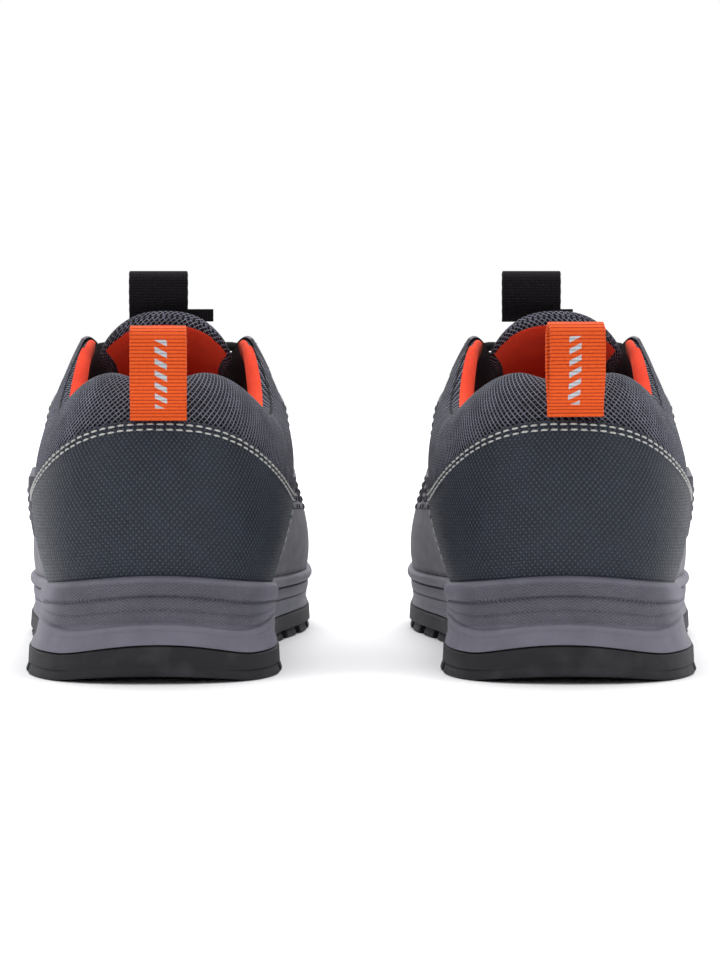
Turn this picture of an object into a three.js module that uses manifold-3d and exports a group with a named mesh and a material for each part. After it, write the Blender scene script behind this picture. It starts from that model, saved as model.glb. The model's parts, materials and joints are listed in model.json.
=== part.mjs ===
// A pair of low-cut hiking shoes. Millimetres, +Z up, toes towards +Y, heels towards -Y.
// Each shoe is drawn as a left shoe (its inner side towards +X); the right shoe is its mirror image.
import * as THREE from 'three';
import { mergeVertices } from 'three/addons/utils/BufferGeometryUtils.js';
import Module from 'manifold-3d';

const wasm = await Module();
wasm.setup();

// ---------- driving dimensions ----------
const SHOE_LENGTH = 292;        // heel to toe, over the outsole
const HALF_WIDTH = 50;          // half the width of the upper at the ball of the foot
const UPPER_HEIGHT = 60;        // collar above the midsole, at the heel
const PAIR_SPACING = 128.2;     // between the centre lines of the two shoes
const GAP = 0.3;                // clearance between pieces that touch
const PANEL_GAP = 0.5;          // clearance of a panel laid on the upper
const LAYER_GAP = 0.8;          // clearance between the hidden layers

const MESH_THICKNESS = 1.6;
const PANEL_THICKNESS = 1.2;
const LINING_THICKNESS = 1.1;
const STIFFENER_THICKNESS = 0.8;
const COLLAR_PADDING = 6;
const BOARD_THICKNESS = 1.5;
const INSOLE_THICKNESS = 4.5;

const OUTSOLE_EDGE = 8.6;       // height of the outsole's upper edge at the side
const HEEL_ARCH = 11;           // how much that edge rises towards the back of the heel
const HEEL_BEVEL = 4.2;         // the outsole's lift at the back of the heel
const HEEL_BEVEL_LENGTH = 22;
const TOE_SPRING = 13;          // the outsole's lift at the toe
const LUG_HEIGHT = 3.6;
const LUG_DEPTH = 19;
const RIB_DEPTH = 0.9;

const LOOP_WIDTH = 5.5;
const WEBBING = 0.9;
const LACE_DIAMETER = 3.2;
const LOOP_ROWS = [6.05, 6.85, 7.65, 8.45, 9.25];

const HEEL_LOOP = { width: 17.6, height: 29.5, strand: 1.5, room: 5.6 };
const TONGUE_LOOP = { width: 19.6, height: 17, strand: 1.3, room: 5.2 };
const TONGUE_LOOP_TAIL = { length: 8.5, height: 4 };
const TONGUE_THICKNESS = 6;
const TONGUE_FOLD = 0.765;      // where along the tongue it folds, from its front end

const SHOES = [
  { side: 'left', mirror: 1, yaw: 0.8, loopTwist: 0, loopShift: 0.6, tongueShift: -2.5, tail: 1 },
  { side: 'right', mirror: -1, yaw: -0.4, loopTwist: -9, loopShift: -2.5, tongueShift: 8, tail: -1 },
];

// ---------- colours ----------
const LOOKS = {
  slate: { color: 0x323a45, roughness: 0.62, metalness: 0 },
  mesh: { color: 0x3c3c48, roughness: 0.9, metalness: 0 },
  orange: { color: 0xe2421f, roughness: 0.95, metalness: 0 },
  webbing: { color: 0xec5a1c, roughness: 0.8, metalness: 0 },
  black: { color: 0x17141a, roughness: 0.85, metalness: 0 },
  overlay: { color: 0x6f6e76, roughness: 0.55, metalness: 0 },
  foam: { color: 0x65646e, roughness: 0.8, metalness: 0 },
  rubber: { color: 0x2b2b31, roughness: 0.7, metalness: 0 },
  board: { color: 0xb5a58a, roughness: 0.9, metalness: 0 },
};
const MATERIALS = Object.fromEntries(
  Object.entries(LOOKS).map(([name, look]) => [name, new THREE.MeshStandardMaterial(look)]));

// ---------- small helpers ----------
const lerp = (a, b, t) => a + (b - a) * t;
const clamp = (x, lo, hi) => Math.min(hi, Math.max(lo, x));
const smooth = (lo, hi, x) => {
  const t = clamp((x - lo) / (hi - lo), 0, 1);
  return t * t * (3 - 2 * t);
};
const vec = (x, y, z) => new THREE.Vector3(x, y, z);

// ---------- the last: four rows of points round the shoe ----------
// Drawn at its base size and graded to the sizes above. Each row: outer x, inner x, y, z at twelve stations
// from the back of the heel (0) to the tip of the toe (11).
const BASE = { length: 292, half: 50, height: 60 };
const FEATHER = [
  [0, 0, 7, 35.5], [27, 27, 14, 32], [35.5, 35, 42, 29.5], [35, 33.5, 76, 27], [36, 31.5, 107, 25],
  [39, 32, 135, 23.5], [44, 38, 163, 22], [47, 45.5, 191, 21.5], [45, 46, 222, 21.8], [36, 40, 253, 24.5],
  [17, 28, 277, 29], [-6, 6, 285, 30.5]];
const LOWER = [
  [0, 0, -2, 55], [31, 30.5, 7, 55], [43.5, 42.5, 42, 52], [44, 43, 76, 50], [44, 42, 107, 47],
  [46, 42, 136, 45], [49, 46, 164, 44], [51, 51, 192, 42], [49, 50, 223, 42], [39, 43, 256, 45],
  [18, 30, 283, 50], [-6, 6, 292, 51]];
const UPPER = [
  [0, 0, -2, 76], [25, 25, 5, 80], [40, 40, 36, 76], [43, 46, 70, 69], [43, 46.5, 98, 74],
  [40.5, 43, 126, 82], [36.5, 38, 150, 80], [35.5, 35, 172, 76], [31, 32, 196, 70], [24, 26, 222, 65],
  [12, 16, 244, 62], [-3, 3, 252, 61]];
const TOP = [
  [0, 0, 12, 91], [17, 17, 14, 98.5], [27, 28, 38, 92], [34, 35.5, 66, 79], [34, 35.5, 92, 87],
  [26, 27, 116, 111], [20.5, 20, 136, 97], [18, 18, 156, 88], [16.5, 16.5, 175, 79], [14, 14, 190, 71],
  [9, 9, 201, 66], [-1, 1, 204, 65]];
const STATIONS = 11;
const AROUND = 2 * STATIONS;

function gradedPoint(row, station, sideSign) {
  const [outer, inner, y, z] = row[station];
  const sole = FEATHER[station][3];
  return vec(
    (sideSign < 0 ? -outer : inner) * HALF_WIDTH / BASE.half,
    y * SHOE_LENGTH / BASE.length,
    sole + (z - sole) * UPPER_HEIGHT / BASE.height);
}

// The rows run round the shoe: the inner side is 0..11, the outer side 11..22.
function ringOf(row) {
  const ring = [];
  for (let k = 0; k < AROUND; k += 1) {
    ring.push(k <= STATIONS ? gradedPoint(row, k, 1) : gradedPoint(row, AROUND - k, -1));
  }
  return ring;
}
const RINGS = [FEATHER, LOWER, UPPER, TOP].map(ringOf);

// How far the sole's foot stands out past the upper, at the same stations: [outer, inner].
const SOLE_FLARE = [
  [4, 4], [6.5, 4], [8, 4], [7.5, 3.5], [6, 3], [4.5, 2.5], [3.5, 2.5], [3, 2.5], [3, 2.5], [3.5, 3], [4, 4], [4, 4]];
const FLARE_RING = RINGS[0].map((_, k) => {
  const [outer, inner] = SOLE_FLARE[k <= STATIONS ? k : AROUND - k];
  return vec(k <= STATIONS ? inner : outer, 0, 0);
});
const flareAt = (u) => onRing(FLARE_RING, u).x;

function onRing(ring, u) {
  const wrapped = ((u % AROUND) + AROUND) % AROUND;
  const k = Math.floor(wrapped);
  const t = wrapped - k;
  const weights = [
    (1 - t) ** 3 / 6, (3 * t ** 3 - 6 * t * t + 4) / 6, (-3 * t ** 3 + 3 * t * t + 3 * t + 1) / 6, t ** 3 / 6];
  const p = vec(0, 0, 0);
  weights.forEach((w, i) => p.addScaledVector(ring[(k + i - 1 + AROUND) % AROUND], w));
  return p;
}

// A point of the upper: u round the shoe, v from the midsole (0) up to the collar or throat edge (1).
function surface(u, v) {
  const [a, b, c, d] = RINGS.map((ring) => onRing(ring, u));
  const w = clamp(v, 0, 1);
  const p = vec(0, 0, 0)
    .addScaledVector(a, (1 - w) ** 3)
    .addScaledVector(b, 3 * w * (1 - w) ** 2)
    .addScaledVector(c, 3 * w * w * (1 - w))
    .addScaledVector(d, w ** 3);
  if (v > 1) p.addScaledVector(d.clone().sub(c), 3 * (v - 1));
  return p;
}

function normalAt(u, v) {
  const e = 0.02;
  const w = clamp(v, e, 1 - e);
  const along = surface(u + e, w).sub(surface(u - e, w));
  const up = surface(u, w + e).sub(surface(u, w - e));
  return along.cross(up).normalize();
}

// The same point moved out of the shoe by a distance (negative: into it).
function offsetPoint(u, v, out) {
  return surface(u, v).addScaledVector(normalAt(u, v), out);
}

function girth(u) {
  let length = 0;
  for (let i = 0; i < 8; i += 1) length += surface(u, i / 8).distanceTo(surface(u, (i + 1) / 8));
  return length;
}

// ---------- building closed meshes ----------
function meshFrom(points, faces) {
  const geometry = new THREE.BufferGeometry();
  geometry.setAttribute('position', new THREE.Float32BufferAttribute(points.flatMap((p) => [p.x, p.y, p.z]), 3));
  geometry.setIndex(faces.flat());
  return geometry;
}

// Two triangles, split from a to c, or from b to d.
function quad(faces, a, b, c, d, other = false) {
  if (other) faces.push([a, b, d], [b, c, d]);
  else faces.push([a, b, c], [a, c, d]);
}

// All layers share these columns round the shoe, so that neighbouring facets lie parallel.
const COLUMN = 0.5;
function columnsBetween(from, to) {
  const columns = [from];
  for (let k = Math.ceil((from + 0.1) / COLUMN); k * COLUMN < to - 0.1; k += 1) columns.push(k * COLUMN);
  columns.push(to);
  return columns;
}

// A sheet between two faces: its columns are values of u, rowsAt(u) gives the v of each row, and inner and
// outer are the offsets of its faces. slant(u, v) may lean a column.
function sheet(columns, rowsAt, inner, outer, slant = (u) => u) {
  const points = [];
  const rows = rowsAt(columns[0]).length;
  const across = columns.length - 1;
  const up = rows - 1;
  const index = (layer, i, j) => (layer * columns.length + i) * rows + j;
  for (const out of [outer, inner]) {
    for (const u of columns) {
      for (const v of rowsAt(u)) points.push(offsetPoint(slant(u, v), v, out));
    }
  }
  const faces = [];
  for (let i = 0; i < across; i += 1) {
    for (let j = 0; j < up; j += 1) {
      quad(faces, index(0, i, j), index(0, i + 1, j), index(0, i + 1, j + 1), index(0, i, j + 1));
      quad(faces, index(1, i + 1, j), index(1, i, j), index(1, i, j + 1), index(1, i + 1, j + 1), true);
    }
    quad(faces, index(0, i, 0), index(1, i, 0), index(1, i + 1, 0), index(0, i + 1, 0));
    quad(faces, index(0, i, up), index(0, i + 1, up), index(1, i + 1, up), index(1, i, up));
  }
  for (let j = 0; j < up; j += 1) {
    quad(faces, index(0, 0, j), index(0, 0, j + 1), index(1, 0, j + 1), index(1, 0, j));
    quad(faces, index(0, across, j), index(1, across, j), index(1, across, j + 1), index(0, across, j + 1));
  }
  return meshFrom(points, faces);
}

// Closed sections joined one after another; a closed loft is a ring, an open one gets two fans as ends.
function loft(sections, closed) {
  const n = sections[0].length;
  const points = sections.flat();
  const faces = [];
  const count = closed ? sections.length : sections.length - 1;
  for (let i = 0; i < count; i += 1) {
    const next = (i + 1) % sections.length;
    for (let j = 0; j < n; j += 1) {
      const k = (j + 1) % n;
      quad(faces, i * n + j, next * n + j, next * n + k, i * n + k);
    }
  }
  if (!closed) {
    const last = (sections.length - 1) * n;
    for (const [a, b, c] of capFaces(sections[0])) faces.push([a, b, c]);
    for (const [a, b, c] of capFaces(sections.at(-1))) faces.push([last + c, last + b, last + a]);
  }
  return outward(meshFrom(points, faces));
}

// Triangles that fill a nearly flat outline, in the outline's own order.
function capFaces(outline) {
  const centre = outline.reduce((sum, p) => sum.add(p), vec(0, 0, 0)).divideScalar(outline.length);
  const normal = vec(0, 0, 0);
  outline.forEach((p, i) => {
    const q = outline[(i + 1) % outline.length];
    normal.add(p.clone().sub(centre).cross(q.clone().sub(centre)));
  });
  normal.normalize();
  const helper = Math.abs(normal.x) < 0.8 ? vec(1, 0, 0) : vec(0, 1, 0);
  const right = helper.cross(normal).normalize();
  const up = normal.clone().cross(right);
  const flat = outline.map((p) => new THREE.Vector2(p.clone().sub(centre).dot(right), p.clone().sub(centre).dot(up)));
  return THREE.ShapeUtils.triangulateShape(flat, []);
}

function volumeOf(geometry) {
  const p = geometry.attributes.position;
  const index = geometry.index.array;
  const [a, b, c] = [vec(), vec(), vec()];
  let volume = 0;
  for (let i = 0; i < index.length; i += 3) {
    a.fromBufferAttribute(p, index[i]);
    b.fromBufferAttribute(p, index[i + 1]);
    c.fromBufferAttribute(p, index[i + 2]);
    volume += a.dot(b.cross(c)) / 6;
  }
  return volume;
}

function outward(geometry) {
  if (volumeOf(geometry) < 0) {
    const index = geometry.index.array;
    for (let i = 0; i < index.length; i += 3) [index[i], index[i + 1]] = [index[i + 1], index[i]];
  }
  return geometry;
}

function toSolid(geometry) {
  const bare = geometry.clone();
  bare.deleteAttribute('normal');
  bare.deleteAttribute('uv');
  const merged = outward(mergeVertices(bare, 1e-4));
  return new wasm.Manifold(new wasm.Mesh({
    numProp: 3,
    vertProperties: new Float32Array(merged.attributes.position.array),
    triVerts: new Uint32Array(merged.index.array),
  }));
}

function fromSolid(solid) {
  const mesh = solid.getMesh();
  const geometry = new THREE.BufferGeometry();
  geometry.setAttribute('position', new THREE.BufferAttribute(new Float32Array(mesh.vertProperties), 3));
  geometry.setIndex(new THREE.BufferAttribute(new Uint32Array(mesh.triVerts), 1));
  return geometry;
}

function joined(geometries) {
  return fromSolid(geometries.map(toSolid).reduce((whole, next) => whole.add(next)));
}

function tube(points, radius, steps, sides = 6) {
  const circle = new THREE.Shape();
  for (let i = 0; i < sides; i += 1) {
    const angle = (2 * Math.PI * i) / sides;
    const [x, y] = [radius * Math.cos(angle), radius * Math.sin(angle)];
    if (i === 0) circle.moveTo(x, y);
    else circle.lineTo(x, y);
  }
  circle.closePath();
  const path = new THREE.CatmullRomCurve3(points, false, 'centripetal');
  return new THREE.ExtrudeGeometry(circle, { steps, extrudePath: path, bevelEnabled: false, curveSegments: 1 });
}

// A flat strap that follows a line in its own plane, made solid across its width.
function strap(line, thickness, width) {
  const left = [];
  const right = [];
  line.forEach((p, i) => {
    const before = line[Math.max(0, i - 1)];
    const after = line[Math.min(line.length - 1, i + 1)];
    const d = after.clone().sub(before).normalize();
    const n = new THREE.Vector2(-d.y, d.x).multiplyScalar(thickness / 2);
    left.push(p.clone().add(n));
    right.unshift(p.clone().sub(n));
  });
  const shape = new THREE.Shape([...left, ...right]);
  const geometry = new THREE.ExtrudeGeometry(shape, { depth: width, bevelEnabled: false, steps: 1 });
  geometry.translate(0, 0, -width / 2);
  return geometry;
}

// A folded loop of webbing in the (x, y) plane: both ends at the foot, the fold at height.
function foldedLoop({ width, height, strand, room }, steps = 6) {
  const half = room / 2 + strand / 2;
  const foot = strand / 2 + GAP / 2;
  const line = [new THREE.Vector2(-foot, 0), new THREE.Vector2(-foot, height * 0.12)];
  line.push(new THREE.Vector2(-half, height * 0.45));
  for (let i = 0; i <= steps; i += 1) {
    const angle = Math.PI - (Math.PI * i) / steps;
    line.push(new THREE.Vector2(half * Math.cos(angle), height - half - strand / 2 + half * Math.sin(angle)));
  }
  line.push(new THREE.Vector2(half, height * 0.45));
  line.push(new THREE.Vector2(foot, height * 0.12), new THREE.Vector2(foot, 0));
  return strap(line, strand, width);
}

// ---------- the sole ----------
const yFraction = (y) => y / SHOE_LENGTH;
const toeLift = (y) => TOE_SPRING * clamp((yFraction(y) - 0.7) / 0.3, 0, 1.1) ** 2;
const heelEnd = (y) => clamp(1 - y / HEEL_BEVEL_LENGTH, 0, 1.2) ** 2;
const soleBottom = (y) => HEEL_BEVEL * heelEnd(y) + toeLift(y);
const outsoleTop = (y) => OUTSOLE_EDGE + HEEL_ARCH * heelEnd(y) + 0.85 * toeLift(y);

// The outline of the upper's foot, moved out level by a distance.
function outline(u, out) {
  const p = surface(u, 0);
  const e = 0.05;
  const along = surface(u + e, 0).sub(surface(u - e, 0));
  return p.add(vec(along.y, -along.x, 0).normalize().multiplyScalar(out));
}

// A plate: profile(p, u) gives closed side points [out, z] from its top edge down to its bottom edge.
function plate(columns, profile) {
  const points = [];
  const uAt = (i) => (AROUND * i) / columns;
  const rows = profile(surface(0, 0), 0).length;
  for (let i = 0; i < columns; i += 1) {
    const u = uAt(i);
    for (const [out, z] of profile(surface(u, 0), u)) {
      const p = outline(u, out);
      points.push(vec(p.x, p.y, z));
    }
  }
  const faces = [];
  const at = (i, j) => (i % columns) * rows + j;
  for (let i = 0; i < columns; i += 1) {
    for (let j = 0; j < rows - 1; j += 1) quad(faces, at(i, j), at(i, j + 1), at(i + 1, j + 1), at(i + 1, j));
  }
  const half = columns / 2;
  for (let i = 0; i < half; i += 1) {
    const [a, b, c, d] = [i, i + 1, columns - i - 1, (columns - i) % columns];
    for (const [j, turn] of [[0, false], [rows - 1, true]]) {
      const face = [];
      if (a !== d) face.push([at(a, j), at(b, j), at(d, j)]);
      if (b !== c) face.push([at(b, j), at(c, j), at(d, j)]);
      face.forEach(([p, q, r]) => faces.push(turn ? [p, r, q] : [p, q, r]));
    }
  }
  return outward(meshFrom(points, faces));
}

function midsole() {
  const shape = [[0, 0.8, 0], [0.06, 2.2, 0], [0.17, 2.9, 0], [0.31, 1.9, 1], [0.42, 2.7, 0], [0.53, 2.3, 1],
    [0.62, 2.8, 0], [0.72, 2.4, 1], [0.8, 2.9, 0], [1, 3.5, 0]];
  const flat = 4;
  return plate(AROUND / COLUMN, (p, u) => {
    const fromHeel = Math.min(u, AROUND - u);
    const ribs = 1 - smooth(1.9, 2.9, fromHeel);
    const [top, bottom] = [p.z - GAP, outsoleTop(p.y) + GAP / 2];
    return shape.map(([t, out, groove], i) => {
      const depth = groove * RIB_DEPTH * (i === 3 ? 1 : ribs);
      return [out - depth + (flareAt(u) - flat) * t, lerp(top, bottom, t)];
    });
  });
}

function outsole() {
  const base = plate(AROUND / COLUMN, (p, u) => {
    const top = outsoleTop(p.y) - GAP / 2;
    const low = soleBottom(p.y) + LUG_HEIGHT;
    const flare = flareAt(u);
    return [[flare - 0.5, top], [flare + 0.2, low], [flare - 1.5, low - 0.2]];
  });
  const lugs = [];
  const top = LUG_HEIGHT + 0.5;
  const block = (u0, u1, out0, out1, steps) => {
    const sections = [];
    for (let i = 0; i <= steps; i += 1) {
      const u = lerp(u0, u1, i / steps);
      const corner = (out, rise) => {
        const p = outline(u, flareAt(u) + out);
        return vec(p.x, p.y, soleBottom(p.y) + rise);
      };
      sections.push([corner(out0, 0), corner(out1, 0), corner(out1, top), corner(out0 - 1.2, top)]);
    }
    lugs.push(loft(sections, false));
  };
  block(-2, 2, 1, -LUG_DEPTH, 8);
  for (const side of [1, -1]) {
    for (const [u0, u1] of [[2.15, 2.75], [2.95, 3.45]]) block(side * u0, side * u1, 1, -LUG_DEPTH, 2);
    for (let u = 5.3; u < 10.1; u += 0.68) block(side * u, side * (u + 0.46), 0, -LUG_DEPTH, 1);
  }
  block(10.35, 11.65, -0.6, -LUG_DEPTH, 4);
  const wide = 0.42 * HALF_WIDTH;
  for (const f of [0.22, 0.29, 0.51, 0.57, 0.63, 0.69, 0.75, 0.81, 0.87]) {
    const y = f * SHOE_LENGTH;
    const half = f < 0.4 ? wide * 0.6 : wide * (f > 0.8 ? 0.7 : 1);
    const bar = new THREE.Shape([[-half, -6], [0, 0], [half, -6], [half, 0], [0, 6], [-half, 0]]
      .map(([x, dy]) => new THREE.Vector2(x, dy)));
    const solid = new THREE.ExtrudeGeometry(bar, { depth: top, bevelEnabled: false });
    solid.translate(f > 0.8 ? 3 : 0, y, 0);
    const position = solid.attributes.position;
    for (let i = 0; i < position.count; i += 1) position.setZ(i, position.getZ(i) + soleBottom(position.getY(i)));
    lugs.push(solid);
  }
  return joined([base, ...lugs]);
}

const FOOTBED_INSET = MESH_THICKNESS + STIFFENER_THICKNESS + LINING_THICKNESS + 4 * LAYER_GAP;

function board() {
  return plate(AROUND / COLUMN, (p) => [
    [-FOOTBED_INSET, p.z + BOARD_THICKNESS], [-FOOTBED_INSET, p.z]]);
}

function insole() {
  const bottom = BOARD_THICKNESS + GAP;
  return plate(AROUND / COLUMN, (p) => [
    [-FOOTBED_INSET - 1.2, p.z + bottom + INSOLE_THICKNESS],
    [-FOOTBED_INSET, p.z + bottom + INSOLE_THICKNESS - 1.2],
    [-FOOTBED_INSET - 0.4, p.z + bottom]]);
}

// ---------- the upper ----------
const VAMP_START = 3.6;
const SEAM = 0.05;
const HEM = 0.012;
const SIDE_ROWS = [0, 1 / 6, 1 / 3, 1 / 2, 2 / 3, 5 / 6, 1];

function vamp() {
  return sheet(columnsBetween(VAMP_START, AROUND - VAMP_START), () => SIDE_ROWS, -MESH_THICKNESS, 0);
}

// The stitched top edge of the heel counter, highest at the back of the heel.
const counterTop = (u) => 0.785 - 0.32 * Math.sin(Math.min(1, Math.abs(u) / 2.8) * Math.PI / 2) ** 2;
const counterRows = (u, bottom = HEM) => [bottom, ...[0.25, 0.5, 0.75, 1].map((t) => t * counterTop(u))];

function quarter() {
  const end = VAMP_START - SEAM;
  const rows = (u) => [...counterRows(u, 0), lerp(counterTop(u), 1, 0.5), 1];
  return sheet(columnsBetween(-end, end), rows, -MESH_THICKNESS, 0);
}

function heelCounter() {
  return sheet(columnsBetween(-3.2, 3.2), (u) => counterRows(u), PANEL_GAP, PANEL_GAP + PANEL_THICKNESS);
}

const STIFFENER_OUTER = -MESH_THICKNESS - LAYER_GAP;
const STIFFENER_INNER = STIFFENER_OUTER - STIFFENER_THICKNESS;

function heelStiffener() {
  const rows = (u) => counterRows(u, 0.03).slice(0, 3);
  return sheet(columnsBetween(-3, 3), rows, STIFFENER_INNER, STIFFENER_OUTER);
}

function toeStiffener() {
  return sheet(columnsBetween(STATIONS - 2, STATIONS + 2), () => [0.04, ...SIDE_ROWS.slice(1, 4)],
    STIFFENER_INNER, STIFFENER_OUTER);
}

// How far the collar is padded at u: 1 round the ankle, 0 from the throat forward.
const padded = (u) => 1 - smooth(3.4, 5.6, Math.min(Math.abs(u), AROUND - Math.abs(u)));

// The lining's middle line as [height along the upper, distance in]: up the inside and over the padded rim.
function liningLine(u) {
  const c = padded(u);
  const length = girth(u);
  const base = -STIFFENER_INNER + LAYER_GAP + LINING_THICKNESS / 2;
  const edge = lerp(MESH_THICKNESS + 1.5 * LAYER_GAP + LINING_THICKNESS / 2, base, c);
  const pad = COLLAR_PADDING * c;
  const down = (mm) => length - mm;
  return [
    [length * 0.04, base], [length * 0.45, base], [down(17), lerp(base, edge, 0.5) + pad * 0.8],
    [down(8), edge + pad], [down(2), edge + pad * 0.8], [down(lerp(1.2, -2.4, c)), edge + pad * 0.2],
    [down(lerp(0.4, -1.6, c)), lerp(edge, 0.7, c)]];
}

function alongLine(line, out) {
  return line.map(([h, d], i) => {
    const [h0, d0] = line[Math.max(0, i - 1)];
    const [h1, d1] = line[Math.min(line.length - 1, i + 1)];
    const length = Math.hypot(h1 - h0, d1 - d0) || 1;
    return [h - ((d1 - d0) / length) * out, d + ((h1 - h0) / length) * out];
  });
}

function placed(u, pairs) {
  const length = girth(u);
  return pairs.map(([h, d]) => offsetPoint(u, h / length, -d));
}

function lining() {
  const sections = [];
  for (let u = 0; u < AROUND; u += COLUMN) {
    const line = liningLine(u);
    const inner = alongLine(line, LINING_THICKNESS / 2);
    const outer = alongLine(line, -LINING_THICKNESS / 2).reverse();
    sections.push(placed(u, [...inner, ...outer]));
  }
  return loft(sections, true);
}

function collarPadding() {
  const sections = [];
  for (const u of columnsBetween(-4.5, 4.5)) {
    const length = girth(u);
    const line = liningLine(u);
    const back = alongLine(line, -LINING_THICKNESS / 2 - LAYER_GAP).slice(2, 5);
    const front = [[back[2][0] - 0.4, -STIFFENER_OUTER], [length * 0.62, -STIFFENER_OUTER]];
    sections.push(placed(u, [...back, ...front]));
  }
  return loft(sections, false);
}

// A panel along the side with bars that rise from it towards the lacing. The outer side's rear bar is thicker.
const TAB_RISE = 1.6;
function sideOverlay(side) {
  const outer = PANEL_GAP + PANEL_THICKNESS;
  const mirrored = (columns) => (side > 0 ? columns : columns.map((u) => -u).reverse());
  const band = sheet(mirrored(columnsBetween(3.4, 8.5)), () => [HEM, SIDE_ROWS[1], SIDE_ROWS[2]], PANEL_GAP, outer);
  const bars = [[3.4, 0.7, 0, 0.53], ...[4.75, 5.5, 6.25, 7, 7.75].map((from) => [from, 0.38, -0.3, 0.78])];
  const risen = bars.map(([from, wide, lean, top]) => {
    const rows = [0.25, SIDE_ROWS[2], SIDE_ROWS[3], ...(top > 0.7 ? [SIDE_ROWS[4]] : []), top];
    const face = side < 0 && lean === 0 ? outer + TAB_RISE : outer;
    return sheet(mirrored([from, from + wide]), () => rows, PANEL_GAP, face, (u, v) => u + side * lean * v);
  });
  return joined([band, ...risen]);
}

function toeCap() {
  const reach = 2.35;
  const rows = (u) => [HEM, SIDE_ROWS[1], lerp(0.35, 0.2, (Math.abs(u - STATIONS) / reach) ** 2.5)];
  return sheet(columnsBetween(STATIONS - reach, STATIONS + reach), rows, PANEL_GAP, PANEL_GAP + 1.8);
}

function eyestay() {
  const start = 4.95;
  return sheet(columnsBetween(start, AROUND - start), () => SIDE_ROWS.slice(5), PANEL_GAP, PANEL_GAP + PANEL_THICKNESS);
}

// A frame on the eyestay: x towards the throat, y out of the shoe, z along the lacing.
function loopFrame(u) {
  const v = 0.93;
  const origin = offsetPoint(u, v, PANEL_GAP + PANEL_THICKNESS + GAP);
  const out = normalAt(u, v);
  const toThroat = surface(u, 1).sub(surface(u, 0.9)).normalize();
  const along = toThroat.clone().cross(out).normalize();
  return new THREE.Matrix4().makeBasis(toThroat, along.clone().cross(toThroat), along).setPosition(origin);
}

const LOOP_ROOM = LACE_DIAMETER + 3;

function laceLoop(u) {
  const half = (LOOP_ROOM + WEBBING) / 2;
  const rise = half + WEBBING / 2;
  const line = [[-7, rise - half], [-0.5, rise - half]];
  for (let i = 1; i < 6; i += 1) {
    const angle = -Math.PI / 2 + (Math.PI * i) / 6;
    line.push([half * Math.cos(angle), rise + half * Math.sin(angle)]);
  }
  line.push([-0.5, rise + half], [-4, rise + half * 0.75], [-7.2, rise - half + WEBBING + GAP]);
  const geometry = strap(line.map(([x, y]) => new THREE.Vector2(x, y)), WEBBING, LOOP_WIDTH);
  return geometry.applyMatrix4(loopFrame(u));
}

// ---------- the tongue ----------
// Its outer middle line as [y, z, half width, drop at the sides], from under the vamp to the top.
const TONGUE = [
  [222, 50.5, 17, 3], [203, 57, 18, 4], [190, 63, 18.5, 5], [177, 70, 19, 6], [160, 79, 19.5, 7],
  [142, 90.5, 20, 8.5], [124, 103, 20.5, 10.5], [113, 110.5, 24, 14], [106, 115.5, 26.5, 18.5]];

function tongueRow(a) {
  const x = clamp(a, 0, 1) * (TONGUE.length - 1);
  const k = Math.min(TONGUE.length - 2, Math.floor(x));
  const t = x - k;
  const row = (i) => TONGUE[clamp(i, 0, TONGUE.length - 1)];
  const [p0, p1, p2, p3] = [row(k - 1), row(k), row(k + 1), row(k + 2)];
  const mixed = p1.map((_, i) => 0.5 * (2 * p1[i] + (p2[i] - p0[i]) * t
    + (2 * p0[i] - 5 * p1[i] + 4 * p2[i] - p3[i]) * t * t + (3 * p1[i] - p0[i] - 3 * p2[i] + p3[i]) * t ** 3));
  const [y, z, half, drop] = mixed;
  const sole = 25;
  return [y * SHOE_LENGTH / BASE.length, sole + (z - sole) * UPPER_HEIGHT / BASE.height,
    half * HALF_WIDTH / BASE.half, drop];
}

// A point of the tongue: a along it, b across it (-1..1), deep below its outer face.
function onTongue(a, b, deep) {
  const [y, z, half, drop] = tongueRow(a);
  const [y0, z0] = tongueRow(a - 0.03);
  const [y1, z1] = tongueRow(a + 0.03);
  const length = Math.hypot(y1 - y0, z1 - z0);
  const [ny, nz] = [(z1 - z0) / length, (y0 - y1) / length];
  const sink = deep + drop * Math.abs(b) ** 2.5;
  return vec(b * half, y - ny * sink, z - nz * sink);
}

function tongueDepth(a, b) {
  const thick = TONGUE_THICKNESS * lerp(0.45, 1, smooth(0.05, 0.5, a));
  return thick * (1 - 0.55 * Math.abs(b) ** 3);
}

function tonguePiece(from, to, steps, roundTop) {
  const across = 8;
  const sections = [];
  for (let i = 0; i <= steps; i += 1) {
    const section = [];
    for (const inner of [false, true]) {
      for (let j = 0; j <= across; j += 1) {
        const b = lerp(-1, 1, (inner ? across - j : j) / across);
        const end = roundTop ? to - 0.13 * Math.abs(b) ** 3 : to;
        const a = lerp(from, end, i / steps);
        section.push(onTongue(a, b, inner ? tongueDepth(a, b) : 0));
      }
    }
    sections.push(section);
  }
  return loft(sections, false);
}

const FOLD_GAP = 0.006;

// ---------- the lace ----------
function laceStop(u, along) {
  const rise = LOOP_ROOM / 2 + WEBBING;
  return vec(-0.2, rise, along).applyMatrix4(loopFrame(u));
}

function tongueSpot(y, above) {
  let a = 0;
  while (a < 1 && tongueRow(a)[0] > y) a += 0.004;
  return onTongue(a, 0, -above);
}

// A point above the throat edge, clear of the eyestay.
function overEdge(u) {
  return offsetPoint(u, 1, PANEL_GAP + PANEL_THICKNESS + LACE_DIAMETER / 2 + 3 * GAP);
}

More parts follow.
